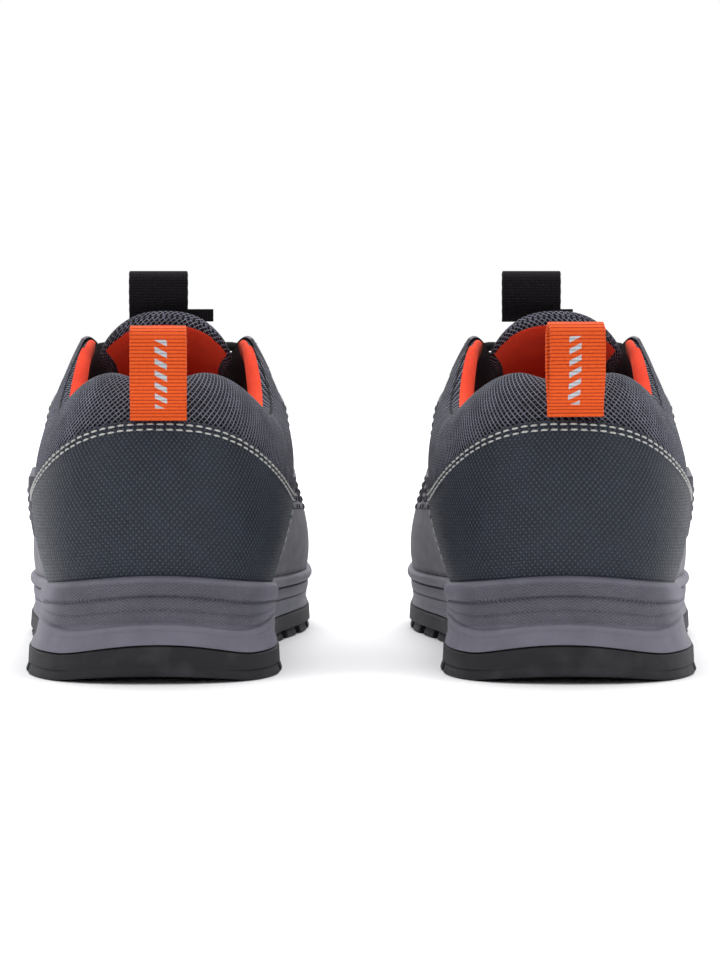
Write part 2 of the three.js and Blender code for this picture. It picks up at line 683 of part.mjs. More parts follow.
// The lace's two halves from the front bar up to the top loops: they cross between each pair of rows.
function laceHalf(start) {
  const reach = LOOP_WIDTH / 2 + 1.5;
  const at = (u, side) => (side > 0 ? u : AROUND - u);
  const points = [];
  let side = start;
  LOOP_ROWS.toReversed().forEach((u, i, rows) => {
    const ends = [laceStop(at(u, side), reach), laceStop(at(u, side), -reach)];
    points.push(...ends.sort((p, q) => q.y - p.y));
    if (i === rows.length - 1) return;
    const above = LACE_DIAMETER / 2 + 2 * GAP + (start > 0 ? LACE_DIAMETER + GAP : 0);
    const next = rows[i + 1];
    points.push(overEdge(at(lerp(u, next, 0.4), side)));
    points.push(tongueSpot((surface(u, 1).y + surface(next, 1).y) / 2, above));
    side = -side;
    points.push(overEdge(at(lerp(u, next, 0.6), side)));
  });
  return points;
}

// The bow is tied over the top crossing: its loops and ends rest on the lacing in front of the knot.
const KNOT = { ahead: 2, above: 6.2, half: [5, 4.4, 3] };
const BOW_HEIGHT = LOOP_ROOM + 2 * WEBBING + PANEL_GAP + PANEL_THICKNESS + LACE_DIAMETER / 2 + 3 * GAP;
const LACE_END = { length: 36, spread: 6.5, above: 11.5 };

function knotCentre() {
  return tongueSpot(surface(LOOP_ROWS[0], 1).y + KNOT.ahead, KNOT.above);
}

function knot() {
  const shape = new THREE.SphereGeometry(1, 10, 6).scale(...KNOT.half);
  shape.rotateX(-0.6);
  const centre = knotCentre();
  return shape.translate(centre.x, centre.y, centre.z);
}

function bowLoop(side) {
  const at = (u, v, more = 0) => offsetPoint(side > 0 ? u : AROUND - u, v, BOW_HEIGHT + more);
  const u = LOOP_ROWS[0];
  const inside = tongueSpot(surface(u + 1, 1).y, BOW_HEIGHT).add(vec(side * 11, 0, 0));
  const points = [knotCentre(), at(u + 0.4, 1, 1), at(u + 0.85, 0.92), at(u + 1.35, 0.9), at(u + 1.6, 0.97), inside,
    knotCentre()];
  return tube(points, LACE_DIAMETER / 2, 15);
}

function laceEnd(side) {
  const { length, spread, above } = LACE_END;
  const start = knotCentre();
  const points = [start];
  for (const t of [0.3, 0.65, 1]) {
    points.push(tongueSpot(start.y + length * t, above).add(vec(side * spread * Math.sqrt(t), 0, 0)));
  }
  return tube(points, LACE_DIAMETER / 2, 6);
}

function lace() {
  const front = LOOP_ROWS.at(-1) + 0.55;
  const bar = [
    overEdge(front), tongueSpot(surface(front, 1).y, LACE_DIAMETER + 4 * GAP), overEdge(AROUND - front)];
  const top = LOOP_ROWS[0] - 0.3;
  const [first, second] = [laceHalf(1), laceHalf(-1)];
  for (const half of [first, second]) {
    const side = Math.sign(half.at(-1).x);
    half.push(overEdge(side > 0 ? top : AROUND - top).add(vec(0, 0, 2 * GAP)), knotCentre());
  }
  const route = tube([...first.reverse(), ...bar, ...second], LACE_DIAMETER / 2, 92);
  return joined([route, knot(), bowLoop(1), bowLoop(-1), laceEnd(1), laceEnd(-1)]);
}

// ---------- the pull loops ----------
function heelLoop({ loopTwist, loopShift }) {
  const foot = offsetPoint(0, counterTop(0) + 0.012, PANEL_GAP + PANEL_THICKNESS + GAP + HEEL_LOOP.strand);
  return foldedLoop(HEEL_LOOP)
    .applyMatrix4(new THREE.Matrix4().makeBasis(vec(0, 1, 0), vec(0, 0, 1), vec(1, 0, 0)))
    .rotateZ(THREE.MathUtils.degToRad(loopTwist))
    .translate(foot.x + loopShift, foot.y, foot.z);
}

// The tongue's loop, with the tail of its webbing sewn down beside it.
function tongueLoop({ tongueShift, tail: side }) {
  const { width, strand, room } = TONGUE_LOOP;
  const foot = onTongue(0.845, 0, -strand - 2 * GAP);
  const tail = new THREE.BoxGeometry(strand, TONGUE_LOOP_TAIL.height, TONGUE_LOOP_TAIL.length + 1);
  const beside = side * ((width + TONGUE_LOOP_TAIL.length) / 2 - 0.5);
  tail.translate(strand / 2 + GAP / 2, TONGUE_LOOP_TAIL.height / 2, beside);
  return joined([foldedLoop(TONGUE_LOOP), tail])
    .applyMatrix4(new THREE.Matrix4().makeBasis(vec(0, 1, 0), vec(0, 0, 1), vec(1, 0, 0)))
    .translate(tongueShift, foot.y, foot.z);
}

// ---------- assembly ----------
function add(group, name, geometry, look) {
  const mesh = new THREE.Mesh(geometry, MATERIALS[look]);
  mesh.name = name;
  group.add(mesh);
  return mesh;
}

function buildShoe(shoe) {
  const group = new THREE.Group();
  const name = (piece) => `${shoe.side}_${piece}`;
  add(group, name('outsole'), outsole(), 'rubber');
  add(group, name('midsole'), midsole(), 'foam');
  add(group, name('insole_board'), board(), 'board');
  add(group, name('insole'), insole(), 'orange');
  add(group, name('vamp'), vamp(), 'mesh');
  add(group, name('quarter'), quarter(), 'mesh');
  add(group, name('heel_counter'), heelCounter(), 'slate');
  add(group, name('heel_stiffener'), heelStiffener(), 'board');
  add(group, name('collar_padding'), collarPadding(), 'foam');
  add(group, name('lining'), lining(), 'orange');
  add(group, name('toe_cap'), toeCap(), 'slate');
  add(group, name('toe_stiffener'), toeStiffener(), 'board');
  add(group, name('inner_overlay'), sideOverlay(1), 'overlay');
  add(group, name('outer_overlay'), sideOverlay(-1), 'overlay');
  add(group, name('eyestay'), eyestay(), 'overlay');
  LOOP_ROWS.forEach((u, i) => {
    add(group, name(`lace_loop_inner_${i + 1}`), laceLoop(u), 'black');
    add(group, name(`lace_loop_outer_${i + 1}`), laceLoop(AROUND - u), 'black');
  });
  add(group, name('lace'), lace(), 'black');
  add(group, name('tongue_lower'), tonguePiece(0, TONGUE_FOLD - FOLD_GAP, 10, false), 'mesh');
  add(group, name('tongue_upper'), tonguePiece(TONGUE_FOLD + FOLD_GAP, 1, 5, true), 'mesh');
  add(group, name('tongue_pull_loop'), tongueLoop(shoe), 'black');
  add(group, name('heel_pull_loop'), heelLoop(shoe), 'webbing');
  return group;
}

const pair = new THREE.Group();
for (const shoe of SHOES) {
  const group = buildShoe(shoe);
  group.scale.x = shoe.mirror;
  group.position.x = -shoe.mirror * PAIR_SPACING / 2;
  group.rotation.z = THREE.MathUtils.degToRad(shoe.yaw);
  pair.add(group);
}

// The origin is at the middle of the pair's foot.
const bounds = new THREE.Box3().setFromObject(pair);
const middle = bounds.getCenter(new THREE.Vector3());
for (const group of pair.children) group.position.sub(vec(middle.x, middle.y, bounds.min.z));

export default pair;
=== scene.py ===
# A pair of low-cut hiking shoes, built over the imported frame. Metres in Blender; the shoe's own lines are drawn in
# millimetres, as in the CAD, and placed by onto_shoe().
import json
import math
import bmesh
import bpy
import numpy as np
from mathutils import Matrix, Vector


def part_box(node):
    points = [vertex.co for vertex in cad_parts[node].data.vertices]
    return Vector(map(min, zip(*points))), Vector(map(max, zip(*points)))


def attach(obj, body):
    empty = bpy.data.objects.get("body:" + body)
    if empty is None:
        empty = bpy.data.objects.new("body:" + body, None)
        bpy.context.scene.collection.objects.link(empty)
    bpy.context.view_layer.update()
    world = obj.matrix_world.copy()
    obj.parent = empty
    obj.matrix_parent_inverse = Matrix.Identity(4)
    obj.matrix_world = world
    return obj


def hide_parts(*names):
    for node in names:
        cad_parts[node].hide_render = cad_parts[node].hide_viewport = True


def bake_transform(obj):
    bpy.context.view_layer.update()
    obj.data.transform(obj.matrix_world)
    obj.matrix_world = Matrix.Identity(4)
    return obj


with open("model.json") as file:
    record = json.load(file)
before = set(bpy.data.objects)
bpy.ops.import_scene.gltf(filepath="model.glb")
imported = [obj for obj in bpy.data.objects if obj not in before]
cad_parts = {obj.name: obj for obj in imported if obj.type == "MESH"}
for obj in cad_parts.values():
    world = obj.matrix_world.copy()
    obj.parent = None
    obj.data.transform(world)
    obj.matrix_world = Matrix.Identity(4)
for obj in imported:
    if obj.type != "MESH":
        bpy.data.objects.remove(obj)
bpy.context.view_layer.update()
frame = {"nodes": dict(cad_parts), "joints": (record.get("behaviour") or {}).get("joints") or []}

# ---------- driving dimensions, as in the CAD ----------
OUTSOLE_EDGE = 8.6
HEEL_ARCH = 11
HEEL_BEVEL = 4.2
HEEL_BEVEL_LENGTH = 22
TOE_SPRING = 13
LUG_HEIGHT = 3.6
LUG_DEPTH = 19
SHOE_LENGTH = 292
MESH_THICKNESS = 1.6
STIFFENER_THICKNESS = 0.8
LINING_THICKNESS = 1.1
LAYER_GAP = 0.8
PANEL = (0.5, 1.7)                 # a laid-on panel's two faces, out from the upper
LOOP_ROWS = [6.05, 6.85, 7.65, 8.45, 9.25]
LACE_DIAMETER = 3.2
LOOP_ROOM = LACE_DIAMETER + 1        # the webbing lies closer round the lace than the CAD's plain loops
LOOP_WIDTH = 5.5
TAB_RISE = 1.6
WEBBING = 0.9
HEEL_LOOP = dict(width=17.6, height=29.5, strand=1.5, room=5.6)
TONGUE_LOOP = dict(width=19.6, height=17, strand=1.3, room=5.2)
TONGUE_THICKNESS = 6
SHOES = [
    dict(side="left", mirror=1, yaw=0.8, twist=0, loop_shift=0.6, loop_drop=1.6, tongue_shift=-2.5, tail=1,
         tail_reach=8.5),
    dict(side="right", mirror=-1, yaw=-0.4, twist=-9, loop_shift=-2.5, loop_drop=0.4, tongue_shift=8, tail=-1,
         tail_reach=4.2),
]

# ---------- the last: outer x, inner x, y, z from the back of the heel to the toe ----------
FEATHER = [
    (0, 0, 7, 35.5), (27, 27, 14, 32), (35.5, 35, 42, 29.5), (35, 33.5, 76, 27), (36, 31.5, 107, 25),
    (39, 32, 135, 23.5), (44, 38, 163, 22), (47, 45.5, 191, 21.5), (45, 46, 222, 21.8), (36, 40, 253, 24.5),
    (17, 28, 277, 29), (-6, 6, 285, 30.5)]
LOWER = [
    (0, 0, -2, 55), (31, 30.5, 7, 55), (43.5, 42.5, 42, 52), (44, 43, 76, 50), (44, 42, 107, 47),
    (46, 42, 136, 45), (49, 46, 164, 44), (51, 51, 192, 42), (49, 50, 223, 42), (39, 43, 256, 45),
    (18, 30, 283, 50), (-6, 6, 292, 51)]
UPPER = [
    (0, 0, -2, 76), (25, 25, 5, 80), (40, 40, 36, 76), (43, 46, 70, 69), (43, 46.5, 98, 74),
    (40.5, 43, 126, 82), (36.5, 38, 150, 80), (35.5, 35, 172, 76), (31, 32, 196, 70), (24, 26, 222, 65),
    (12, 16, 244, 62), (-3, 3, 252, 61)]
TOP = [
    (0, 0, 12, 91), (17, 17, 14, 98.5), (27, 28, 38, 92), (34, 35.5, 66, 79), (34, 35.5, 92, 87),
    (26, 27, 116, 111), (20.5, 20, 136, 97), (18, 18, 156, 88), (16.5, 16.5, 175, 79), (14, 14, 190, 71),
    (9, 9, 201, 66), (-1, 1, 204, 65)]
TONGUE = [
    (222, 50.5, 17, 3), (203, 57, 18, 4), (190, 63, 18.5, 5), (177, 70, 19, 6), (160, 79, 19.5, 7),
    (142, 90.5, 20, 8.5), (124, 103, 20.5, 10.5), (113, 110.5, 24, 14), (106, 115.5, 26.5, 18.5)]
SOLE_FLARE = [
    (4, 4), (6.5, 4), (8, 4), (7.5, 3.5), (6, 3), (4.5, 2.5),
    (3.5, 2.5), (3, 2.5), (3, 2.5), (3.5, 3), (4, 4), (4, 4)]
AROUND = 22


def ring_of(row):
    ring = []
    for k in range(AROUND):
        outer, inner, y, z = row[k if k <= 11 else AROUND - k]
        ring.append((inner if k <= 11 else -outer, y, z))
    return np.array(ring, float)


RINGS = [ring_of(row) for row in (FEATHER, LOWER, UPPER, TOP)]


def smooth(lo, hi, x):
    t = np.clip((x - lo) / (hi - lo), 0, 1)
    return t * t * (3 - 2 * t)


def lerp(a, b, t):
    return a + (b - a) * t


def on_ring(ring, u):
    w = np.mod(u, AROUND)
    k = np.floor(w).astype(int)
    t = w - k
    weights = ((1 - t) ** 3 / 6, (3 * t ** 3 - 6 * t * t + 4) / 6,
               (-3 * t ** 3 + 3 * t * t + 3 * t + 1) / 6, t ** 3 / 6)
    return sum(q[..., None] * ring[(k + i - 1) % AROUND] for i, q in enumerate(weights))


def surface(u, v):
    u, v = np.broadcast_arrays(np.asarray(u, float), np.asarray(v, float))
    a, b, c, d = [on_ring(ring, u) for ring in RINGS]
    w = np.clip(v, 0, 1)[..., None]
    p = a * (1 - w) ** 3 + b * 3 * w * (1 - w) ** 2 + c * 3 * w * w * (1 - w) + d * w ** 3
    return p + (d - c) * 3 * np.maximum(v - 1, 0)[..., None]


def lengths(p):
    """How far each point of a line is from its first, along it."""
    return np.concatenate([[0], np.cumsum(np.linalg.norm(np.diff(p, axis=0), axis=1))])


def lengths_across(p):
    """The same for each row of a grid."""
    return np.concatenate([np.zeros((len(p), 1)), np.cumsum(np.linalg.norm(np.diff(p, axis=1), axis=2), 1)], 1)


def unit(a):
    return a / np.maximum(np.linalg.norm(a, axis=-1, keepdims=True), 1e-9)


def normal_at(u, v):
    e = 0.02
    w = np.clip(v, e, 1 - e)
    return unit(np.cross(surface(u + e, w) - surface(u - e, w), surface(u, w + e) - surface(u, w - e)))


def offset(u, v, out):
    u, v, out = np.broadcast_arrays(np.asarray(u, float), np.asarray(v, float), np.asarray(out, float))
    return surface(u, v) + normal_at(u, v) * out[..., None]


def girth(u):
    steps = [surface(u, i / 8) for i in range(9)]
    return sum(np.linalg.norm(b - a, axis=-1) for a, b in zip(steps, steps[1:]))


# Length round the shoe at mid height, for texture coordinates.
U_TABLE = np.linspace(-AROUND, 2 * AROUND, 1321)
_line = surface(U_TABLE, 0.45)
S_TABLE = lengths(_line)
S_TABLE -= np.interp(0, U_TABLE, S_TABLE)


def around_mm(u):
    return np.interp(u, U_TABLE, S_TABLE)


FLARE_RING = np.array([
    (SOLE_FLARE[k][1] if k <= 11 else SOLE_FLARE[AROUND - k][0], 0, 0) for k in range(AROUND)], float)


def flare(u):
    return on_ring(FLARE_RING, np.asarray(u, float))[..., 0]


def outline(u, out):
    p = surface(u, 0)
    along = surface(u + 0.05, 0) - surface(u - 0.05, 0)
    flat = unit(np.stack([along[..., 1], -along[..., 0], np.zeros_like(along[..., 0])], -1))
    return p + flat * np.asarray(out)[..., None]


def toe_lift(y):
    return TOE_SPRING * np.clip((y / SHOE_LENGTH - 0.7) / 0.3, 0, 1.1) ** 2


def heel_end(y):
    return np.clip(1 - y / HEEL_BEVEL_LENGTH, 0, 1.2) ** 2


def sole_bottom(y):
    return HEEL_BEVEL * heel_end(y) + toe_lift(y)


def outsole_top(y):
    return OUTSOLE_EDGE + HEEL_ARCH * heel_end(y) + 0.85 * toe_lift(y)


def counter_top(u):
    return 0.785 - 0.32 * np.sin(np.minimum(1, np.abs(u) / 2.8) * math.pi / 2) ** 2


# ---------- placing a shoe ----------
def turn(shoe, p):
    a = math.radians(shoe["yaw"])
    q = np.array(p, float)
    q[..., 0] *= shoe["mirror"]
    x, y = q[..., 0].copy(), q[..., 1].copy()
    q[..., 0] = x * math.cos(a) - y * math.sin(a)
    q[..., 1] = x * math.sin(a) + y * math.cos(a)
    return q


def place_of(shoe):
    # The CAD's midsole is a plate on the same outline, so its box gives the shoe's place.
    u = np.arange(0, AROUND, 0.5)
    edge = turn(shoe, outline(u, flare(u) - 0.5))
    low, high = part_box(shoe["side"] + "_midsole")
    return np.array([low[0] * 1000 - edge[:, 0].min(), low[1] * 1000 - edge[:, 1].min(), 0.0])


for shoe in SHOES:
    shoe["place"] = place_of(shoe)


def onto_shoe(shoe, p):
    return (turn(shoe, p) + shoe["place"]) / 1000


# ---------- meshes ----------
class Mesh:
    """Collects grids in a shoe's own millimetres, with texture coordinates in millimetres."""

    def __init__(self):
        self.v, self.f, self.uv, self.m = [], [], [], []
        self.n = 0

    def grid(self, p, uv, closed_u=False, closed_v=False, mat=0, flip=False):
        n, m = p.shape[:2]
        uv = np.broadcast_to(uv, (n, m, 2))
        nu, nv = (n - 1 if closed_u else n), (m - 1 if closed_v else m)
        base = self.n
        self.v.append(p[:nu, :nv].reshape(-1, 3))
        self.n += nu * nv
        i, j = np.meshgrid(np.arange(n - 1), np.arange(m - 1), indexing="ij")
        i, j = i.ravel(), j.ravel()
        corners = [(i, j), (i + 1, j), (i + 1, j + 1), (i, j + 1)]
        if flip:
            corners = corners[::-1]
        self.f.append(np.stack([base + (a % nu) * nv + (b % nv) for a, b in corners], -1))
        self.uv.append(np.stack([uv[a, b] for a, b in corners], 1))
        mats = mat if np.ndim(mat) else np.full(len(i), mat)
        self.m.append(np.asarray(mats).ravel())
        return self

    def make(self, name, shoe, materials, body="shoe", slot=None, replaces=(), merge=0.0, ride=True):
        name = f"{shoe['side']}_{name}"
        v = np.concatenate(self.v)
        f = np.concatenate(self.f)
        uv = np.concatenate(self.uv)
        if shoe["mirror"] < 0:
            f, uv = f[:, ::-1], uv[:, ::-1]
        mesh = bpy.data.meshes.new(name)
        mesh.from_pydata(onto_shoe(shoe, v).tolist(), [], f.tolist())
        layer = mesh.uv_layers.new(name="UVMap")
        layer.data.foreach_set("uv", (uv.reshape(-1) / 100).astype(np.float32))
        mesh.polygons.foreach_set("material_index", np.concatenate(self.m).astype(np.int32))
        mesh.polygons.foreach_set("use_smooth", np.ones(len(f), bool))
        for material in materials:
            mesh.materials.append(material)
        if merge:
            bm = bmesh.new()
            bm.from_mesh(mesh)
            bmesh.ops.remove_doubles(bm, verts=bm.verts, dist=merge / 1000)
            bm.to_mesh(mesh)
            bm.free()
        mesh.validate()
        obj = bpy.data.objects.new(name, mesh)
        bpy.context.scene.collection.objects.link(obj)
        if ride:
            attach(obj, f"{shoe['side']}_{body}")
        if replaces:
            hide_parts(*[shoe["side"] + "_" + n for n in replaces])
        return obj


def arc_uv(p):
    """Texture coordinates of a grid by length along its columns (t) and along its middle row (s)."""
    rows = np.linalg.norm(np.diff(p, axis=1), axis=2)
    t = np.concatenate([np.zeros((len(p), 1)), np.cumsum(rows, 1)], 1)
    middle = p[:, p.shape[1] // 2]
    s = lengths(middle)
    return np.stack([np.broadcast_to(s[:, None], t.shape), t], -1)


def panel(mesh, u, v, edge, faces=PANEL, lean=0):
    """A laid-on sheet with rounded edges. u is (n,), v is (n, m); it may lean round the shoe as it rises."""
    at = np.broadcast_to(u[:, None], v.shape) + lean * v
    inner, outer = faces
    length = girth(u)[:, None]
    s = around_mm(at)
    t = v * length
    near = np.minimum.reduce([
        np.abs(s - s[:1]), np.abs(s - s[-1:]), np.abs(t - t[:, :1]), np.abs(t - t[:, -1:])])
    round_off = edge * (1 - np.sqrt(np.clip(1 - (1 - np.clip(near / edge, 0, 1)) ** 2, 0, 1)))
    top = offset(at, v, outer - round_off)
    uv = np.stack([s, t], -1)
    mesh.grid(top, uv)
    low = offset(at, v, inner)
    for a, b, flip in ((top[:, 0], low[:, 0], False), (top[:, -1], low[:, -1], True)):
        mesh.grid(np.stack([b, a], 1), np.stack([uv[:, 0], uv[:, 0] + (0, 1)], 1), flip=flip)
    for a, b, flip in ((top[0], low[0], False), (top[-1], low[-1], True)):
        mesh.grid(np.stack([a, b], 1), np.stack([uv[0], uv[0] + (0, 1)], 1), flip=flip)


def edged(n, edge, span):
    """Values from 0 to 1 with extra ones close to both ends, so a rounded edge has rows to bend."""
    e = edge / span
    extra = np.array([0, 0.13, 0.33, 0.62, 1]) * e
    return np.concatenate([extra, np.linspace(e, 1 - e, n)[1:-1], 1 - extra[::-1]])


# ---------- materials ----------
class Look:
    """A procedural material. Texture coordinates are millimetres along the piece."""

    def __init__(self, name, **sockets):
        self.mat = bpy.data.materials.new(name)
        self.mat.use_nodes = True
        self.tree = self.mat.node_tree
        self.shader = next(n for n in self.tree.nodes if n.type == "BSDF_PRINCIPLED")
        for key, value in sockets.items():
            self.shader.inputs[key.replace("_", " ")].default_value = value
        uv = self.node("ShaderNodeUVMap", uv_map="UVMap")
        scaled = self.node("ShaderNodeVectorMath", operation="SCALE")
        scaled.inputs["Scale"].default_value = 100
        self.link(uv.outputs[0], scaled.inputs[0])
        self.mm = scaled.outputs[0]
        split = self.node("ShaderNodeSeparateXYZ")
        self.link(self.mm, split.inputs[0])
        self.s, self.t = split.outputs[0], split.outputs[1]

    def node(self, kind, **settings):
        n = self.tree.nodes.new(kind)
        for key, value in settings.items():
            setattr(n, key, value)
        return n

    def link(self, a, b):
        self.tree.links.new(a, b)

    def put(self, socket, value):
        if isinstance(value, bpy.types.NodeSocket):
            self.link(value, socket)
        else:
            socket.default_value = value

    def math(self, op, *values, clamp=False):
        n = self.node("ShaderNodeMath", operation=op, use_clamp=clamp)
        for socket, value in zip(n.inputs, values):
            self.put(socket, value)
        return n.outputs[0]

    def wave(self, value, period, phase=0.0):
        """A sine of that period, from -1 to 1."""
        return self.math("SINE", self.math("MULTIPLY_ADD", value, 2 * math.pi / period, phase))

    def ridge(self, value, period, phase=0.0):
        return self.math("ABSOLUTE", self.wave(value, 2 * period, phase))

    def noise(self, scale, detail=3, rough=0.6, stretch=(1, 1, 1)):
        m = self.node("ShaderNodeMapping")
        m.inputs["Scale"].default_value = stretch
        self.link(self.mm, m.inputs[0])
        n = self.node("ShaderNodeTexNoise")
        n.inputs["Scale"].default_value = scale
        n.inputs["Detail"].default_value = detail
        n.inputs["Roughness"].default_value = rough
        self.link(m.outputs[0], n.inputs["Vector"])
        return n.outputs["Fac"]

    def solid_noise(self, scale, detail=3):
        where = self.node("ShaderNodeTexCoord")
        n = self.node("ShaderNodeTexNoise")
        n.inputs["Scale"].default_value = scale
        n.inputs["Detail"].default_value = detail
        self.link(where.outputs["Object"], n.inputs["Vector"])
        return n.outputs["Fac"]

    def ramp(self, value, *stops):
        """Colours as (position, (r, g, b)), in sRGB from 0 to 255."""
        n = self.node("ShaderNodeValToRGB")
        while len(n.color_ramp.elements) < len(stops):
            n.color_ramp.elements.new(0.5)
        for element, (at, colour) in zip(n.color_ramp.elements, stops):
            element.position = at
            element.color = linear(colour)
        self.put(n.inputs[0], value)
        return n.outputs[0]

    def mix(self, factor, a, b):
        n = self.node("ShaderNodeMix", data_type="RGBA")
        self.put(n.inputs[0], factor)
        self.put(n.inputs[6], a)
        self.put(n.inputs[7], b)
        return n.outputs[2]

    def range(self, value, a, b, c, d):
        n = self.node("ShaderNodeMapRange")
        for socket, x in zip(n.inputs, (value, a, b, c, d)):
            self.put(socket, x)
        return n.outputs[0]

    def bump(self, height, distance):
        n = self.node("ShaderNodeBump")
        n.inputs["Strength"].default_value = 1.0
        n.inputs["Distance"].default_value = distance / 1000
        self.put(n.inputs["Height"], height)
        self.link(n.outputs[0], self.shader.inputs["Normal"])

    def colour(self, value):
        self.put(self.shader.inputs["Base Color"], value)

    def rough(self, value):
        self.put(self.shader.inputs["Roughness"], value)


def linear(colour):
    values = [c / 255 for c in colour]
    return tuple(c / 12.92 if c <= 0.04045 else ((c + 0.055) / 1.055) ** 2.4 for c in values) + (1.0,)


def knit_look(name, hole_shade=(3, 3, 5), shade=(26, 27, 34), yarn=(150, 152, 172), pitch=1.85):
    """Open spacer mesh: two crossing sets of yarns round small holes. The holes are painted near-black as shade in
    the openings, and one yarn set is painted darker than the other as shade from one side.
    """
    k = Look(name, Roughness=0.85, Specular_IOR_Level=0.25)
    wobble = k.math("MULTIPLY", k.math("SUBTRACT", k.noise(0.35, 2), 0.5), 0.9)
    s = k.math("ADD", k.s, wobble)
    t = k.math("ADD", k.t, wobble)
    a = k.ridge(k.math("ADD", s, t), pitch)
    b = k.ridge(k.math("SUBTRACT", s, t), pitch)
    low = k.math("MINIMUM", a, b)
    yarns = k.range(low, 0.2, 0.6, 1.0, 0.0)
    strand = k.ridge(k.t, 0.42)
    # painted shade: one of the two diagonal yarn sets is darker than the other, as if the light came from one side
    side = k.range(k.math("SUBTRACT", a, b), -0.5, 0.5, 0.75, 1.0)
    patch = k.range(k.noise(0.12, 3), 0.3, 0.7, 0.8, 1.1)
    lit = k.math("MULTIPLY", k.math("MULTIPLY", yarns, side), k.range(strand, 0.0, 1.0, 0.75, 1.0))
    lit = k.math("MULTIPLY", lit, patch, clamp=True)
    # the ramp darkens from the yarn tops down to the hole colour: painted shade down the yarns' sides and in the
    # mesh's openings
    k.colour(k.ramp(lit, (0.0, hole_shade), (0.4, shade), (0.95, yarn)))
    k.bump(k.math("ADD", lit, k.math("MULTIPLY", k.noise(2.5, 2), 0.2)), 0.5)
    return k.mat


def lerp_colour(a, b, t):
    return tuple(lerp(x, y, t) for x, y in zip(a, b))


def counter_look():
    """Coated fabric: dark diamonds between fine paler threads."""
    k = Look("counter fabric", Roughness=0.55, Specular_IOR_Level=0.3)
    t = k.math("MULTIPLY", k.t, 0.85)
    a = k.ridge(k.math("ADD", k.s, t), 1.7)
    b = k.ridge(k.math("SUBTRACT", k.s, t), 1.7)
    low = k.math("MINIMUM", a, b)
    grain = k.range(low, 0.08, 0.55, 0.0, 1.0)
    cross = k.range(k.math("MAXIMUM", a, b), 0.1, 0.75, 1.0, 0.0)
    threads = k.math("MULTIPLY", k.math("SUBTRACT", 1.0, grain), k.range(k.noise(1.1, 2), 0.35, 0.65, 0.45, 1.0))
    patch = k.range(k.noise(0.09, 4), 0.3, 0.7, 0.0, 1.0)
    base = k.ramp(patch, (0.0, (22, 26, 37)), (1.0, (33, 38, 50)))
    woven = k.mix(k.math("MULTIPLY", threads, 0.6), base, linear((62, 70, 82)))
    k.colour(k.mix(k.math("MULTIPLY", cross, 0.8), woven, linear((100, 110, 122))))
    k.rough(k.range(k.noise(0.6, 3), 0.3, 0.7, 0.48, 0.66))
    fine = k.math("MULTIPLY", k.noise(5, 2), 0.15)
    k.bump(k.math("ADD", grain, fine), 0.4)
    return k.mat


def lining_look(name="lining", warm=(232, 62, 26), deep=(196, 36, 14), sheen=0.3):
    k = Look(name, Roughness=0.92, Sheen_Weight=sheen, Sheen_Roughness=0.45)
    k.shader.inputs["Sheen Tint"].default_value = linear((255, 120, 80))
    fuzz = k.noise(1.9, 4, 0.7)
    worn = k.noise(0.07, 3)
    tone = k.math("ADD", k.math("MULTIPLY", fuzz, 0.55), k.math("MULTIPLY", worn, 0.45))
    k.colour(k.ramp(tone, (0.3, deep), (0.55, warm), (0.8, lerp_colour(warm, (255, 130, 80), 0.5))))
    knit = k.math("MULTIPLY", k.ridge(k.s, 0.45), k.ridge(k.t, 0.6))
    k.bump(k.math("ADD", k.math("MULTIPLY", fuzz, 0.7), k.math("MULTIPLY", knit, 0.3)), 0.22)
    return k.mat


def orange_look():
    """Grosgrain: ribs across the length, each of fine warp threads, with a plain row of woven grey dashes; the
    grooves between ribs and threads carry painted shade.
    """
    k = Look("orange webbing", Roughness=0.72, Specular_IOR_Level=0.3)
    rib = k.ridge(k.t, 1.12)
    thread = k.ridge(k.s, 0.4)
    # painted shade: the tone falls to a fifth in the grooves between ribs, and a little between warp threads
    tone = k.math("MULTIPLY", k.range(rib, 0.0, 0.6, 0.2, 1.0), k.range(thread, 0.0, 0.7, 0.78, 1.0))
    tone = k.math("MULTIPLY", tone, k.range(k.noise(0.8, 3), 0.3, 0.7, 0.85, 1.1), clamp=True)
    cloth = k.ramp(tone, (0.0, (132, 30, 4)), (0.55, (214, 68, 14)), (1.0, (240, 94, 24)))
    slant = k.math("ADD", k.t, k.math("MULTIPLY", k.s, 0.5))
    dash = k.math("GREATER_THAN", k.wave(slant, 3.6, 0.6), 0.1)
    middle = k.math("LESS_THAN", k.math("ABSOLUTE", k.math("SUBTRACT", k.s, 0.9)), 1.9)
    length = k.math("MULTIPLY", k.math("GREATER_THAN", k.t, 4.0), k.math("LESS_THAN", k.t, 25.5))
    mark = k.math("MULTIPLY", dash, k.math("MULTIPLY", middle, length))
    grey = k.ramp(tone, (0.0, (120, 124, 132)), (1.0, (204, 208, 214)))
    k.colour(k.mix(mark, cloth, grey))
    k.bump(k.math("ADD", rib, k.math("MULTIPLY", thread, 0.3)), 0.35)
    return k.mat


def webbing_look():
    k = Look("black webbing", Roughness=0.85, Specular_IOR_Level=0.15)
    a = k.ridge(k.t, 0.9)
    b = k.ridge(k.s, 0.6)
    weave = k.math("MULTIPLY", k.math("ADD", a, b), 0.5)
    k.colour(k.ramp(k.math("MULTIPLY", weave, k.range(k.noise(1.5, 3), 0.3, 0.7, 0.7, 1.1)),
                    (0.0, (5, 4, 7)), (0.6, (16, 13, 17)), (1.0, (38, 34, 40))))
    k.bump(weave, 0.25)
    return k.mat


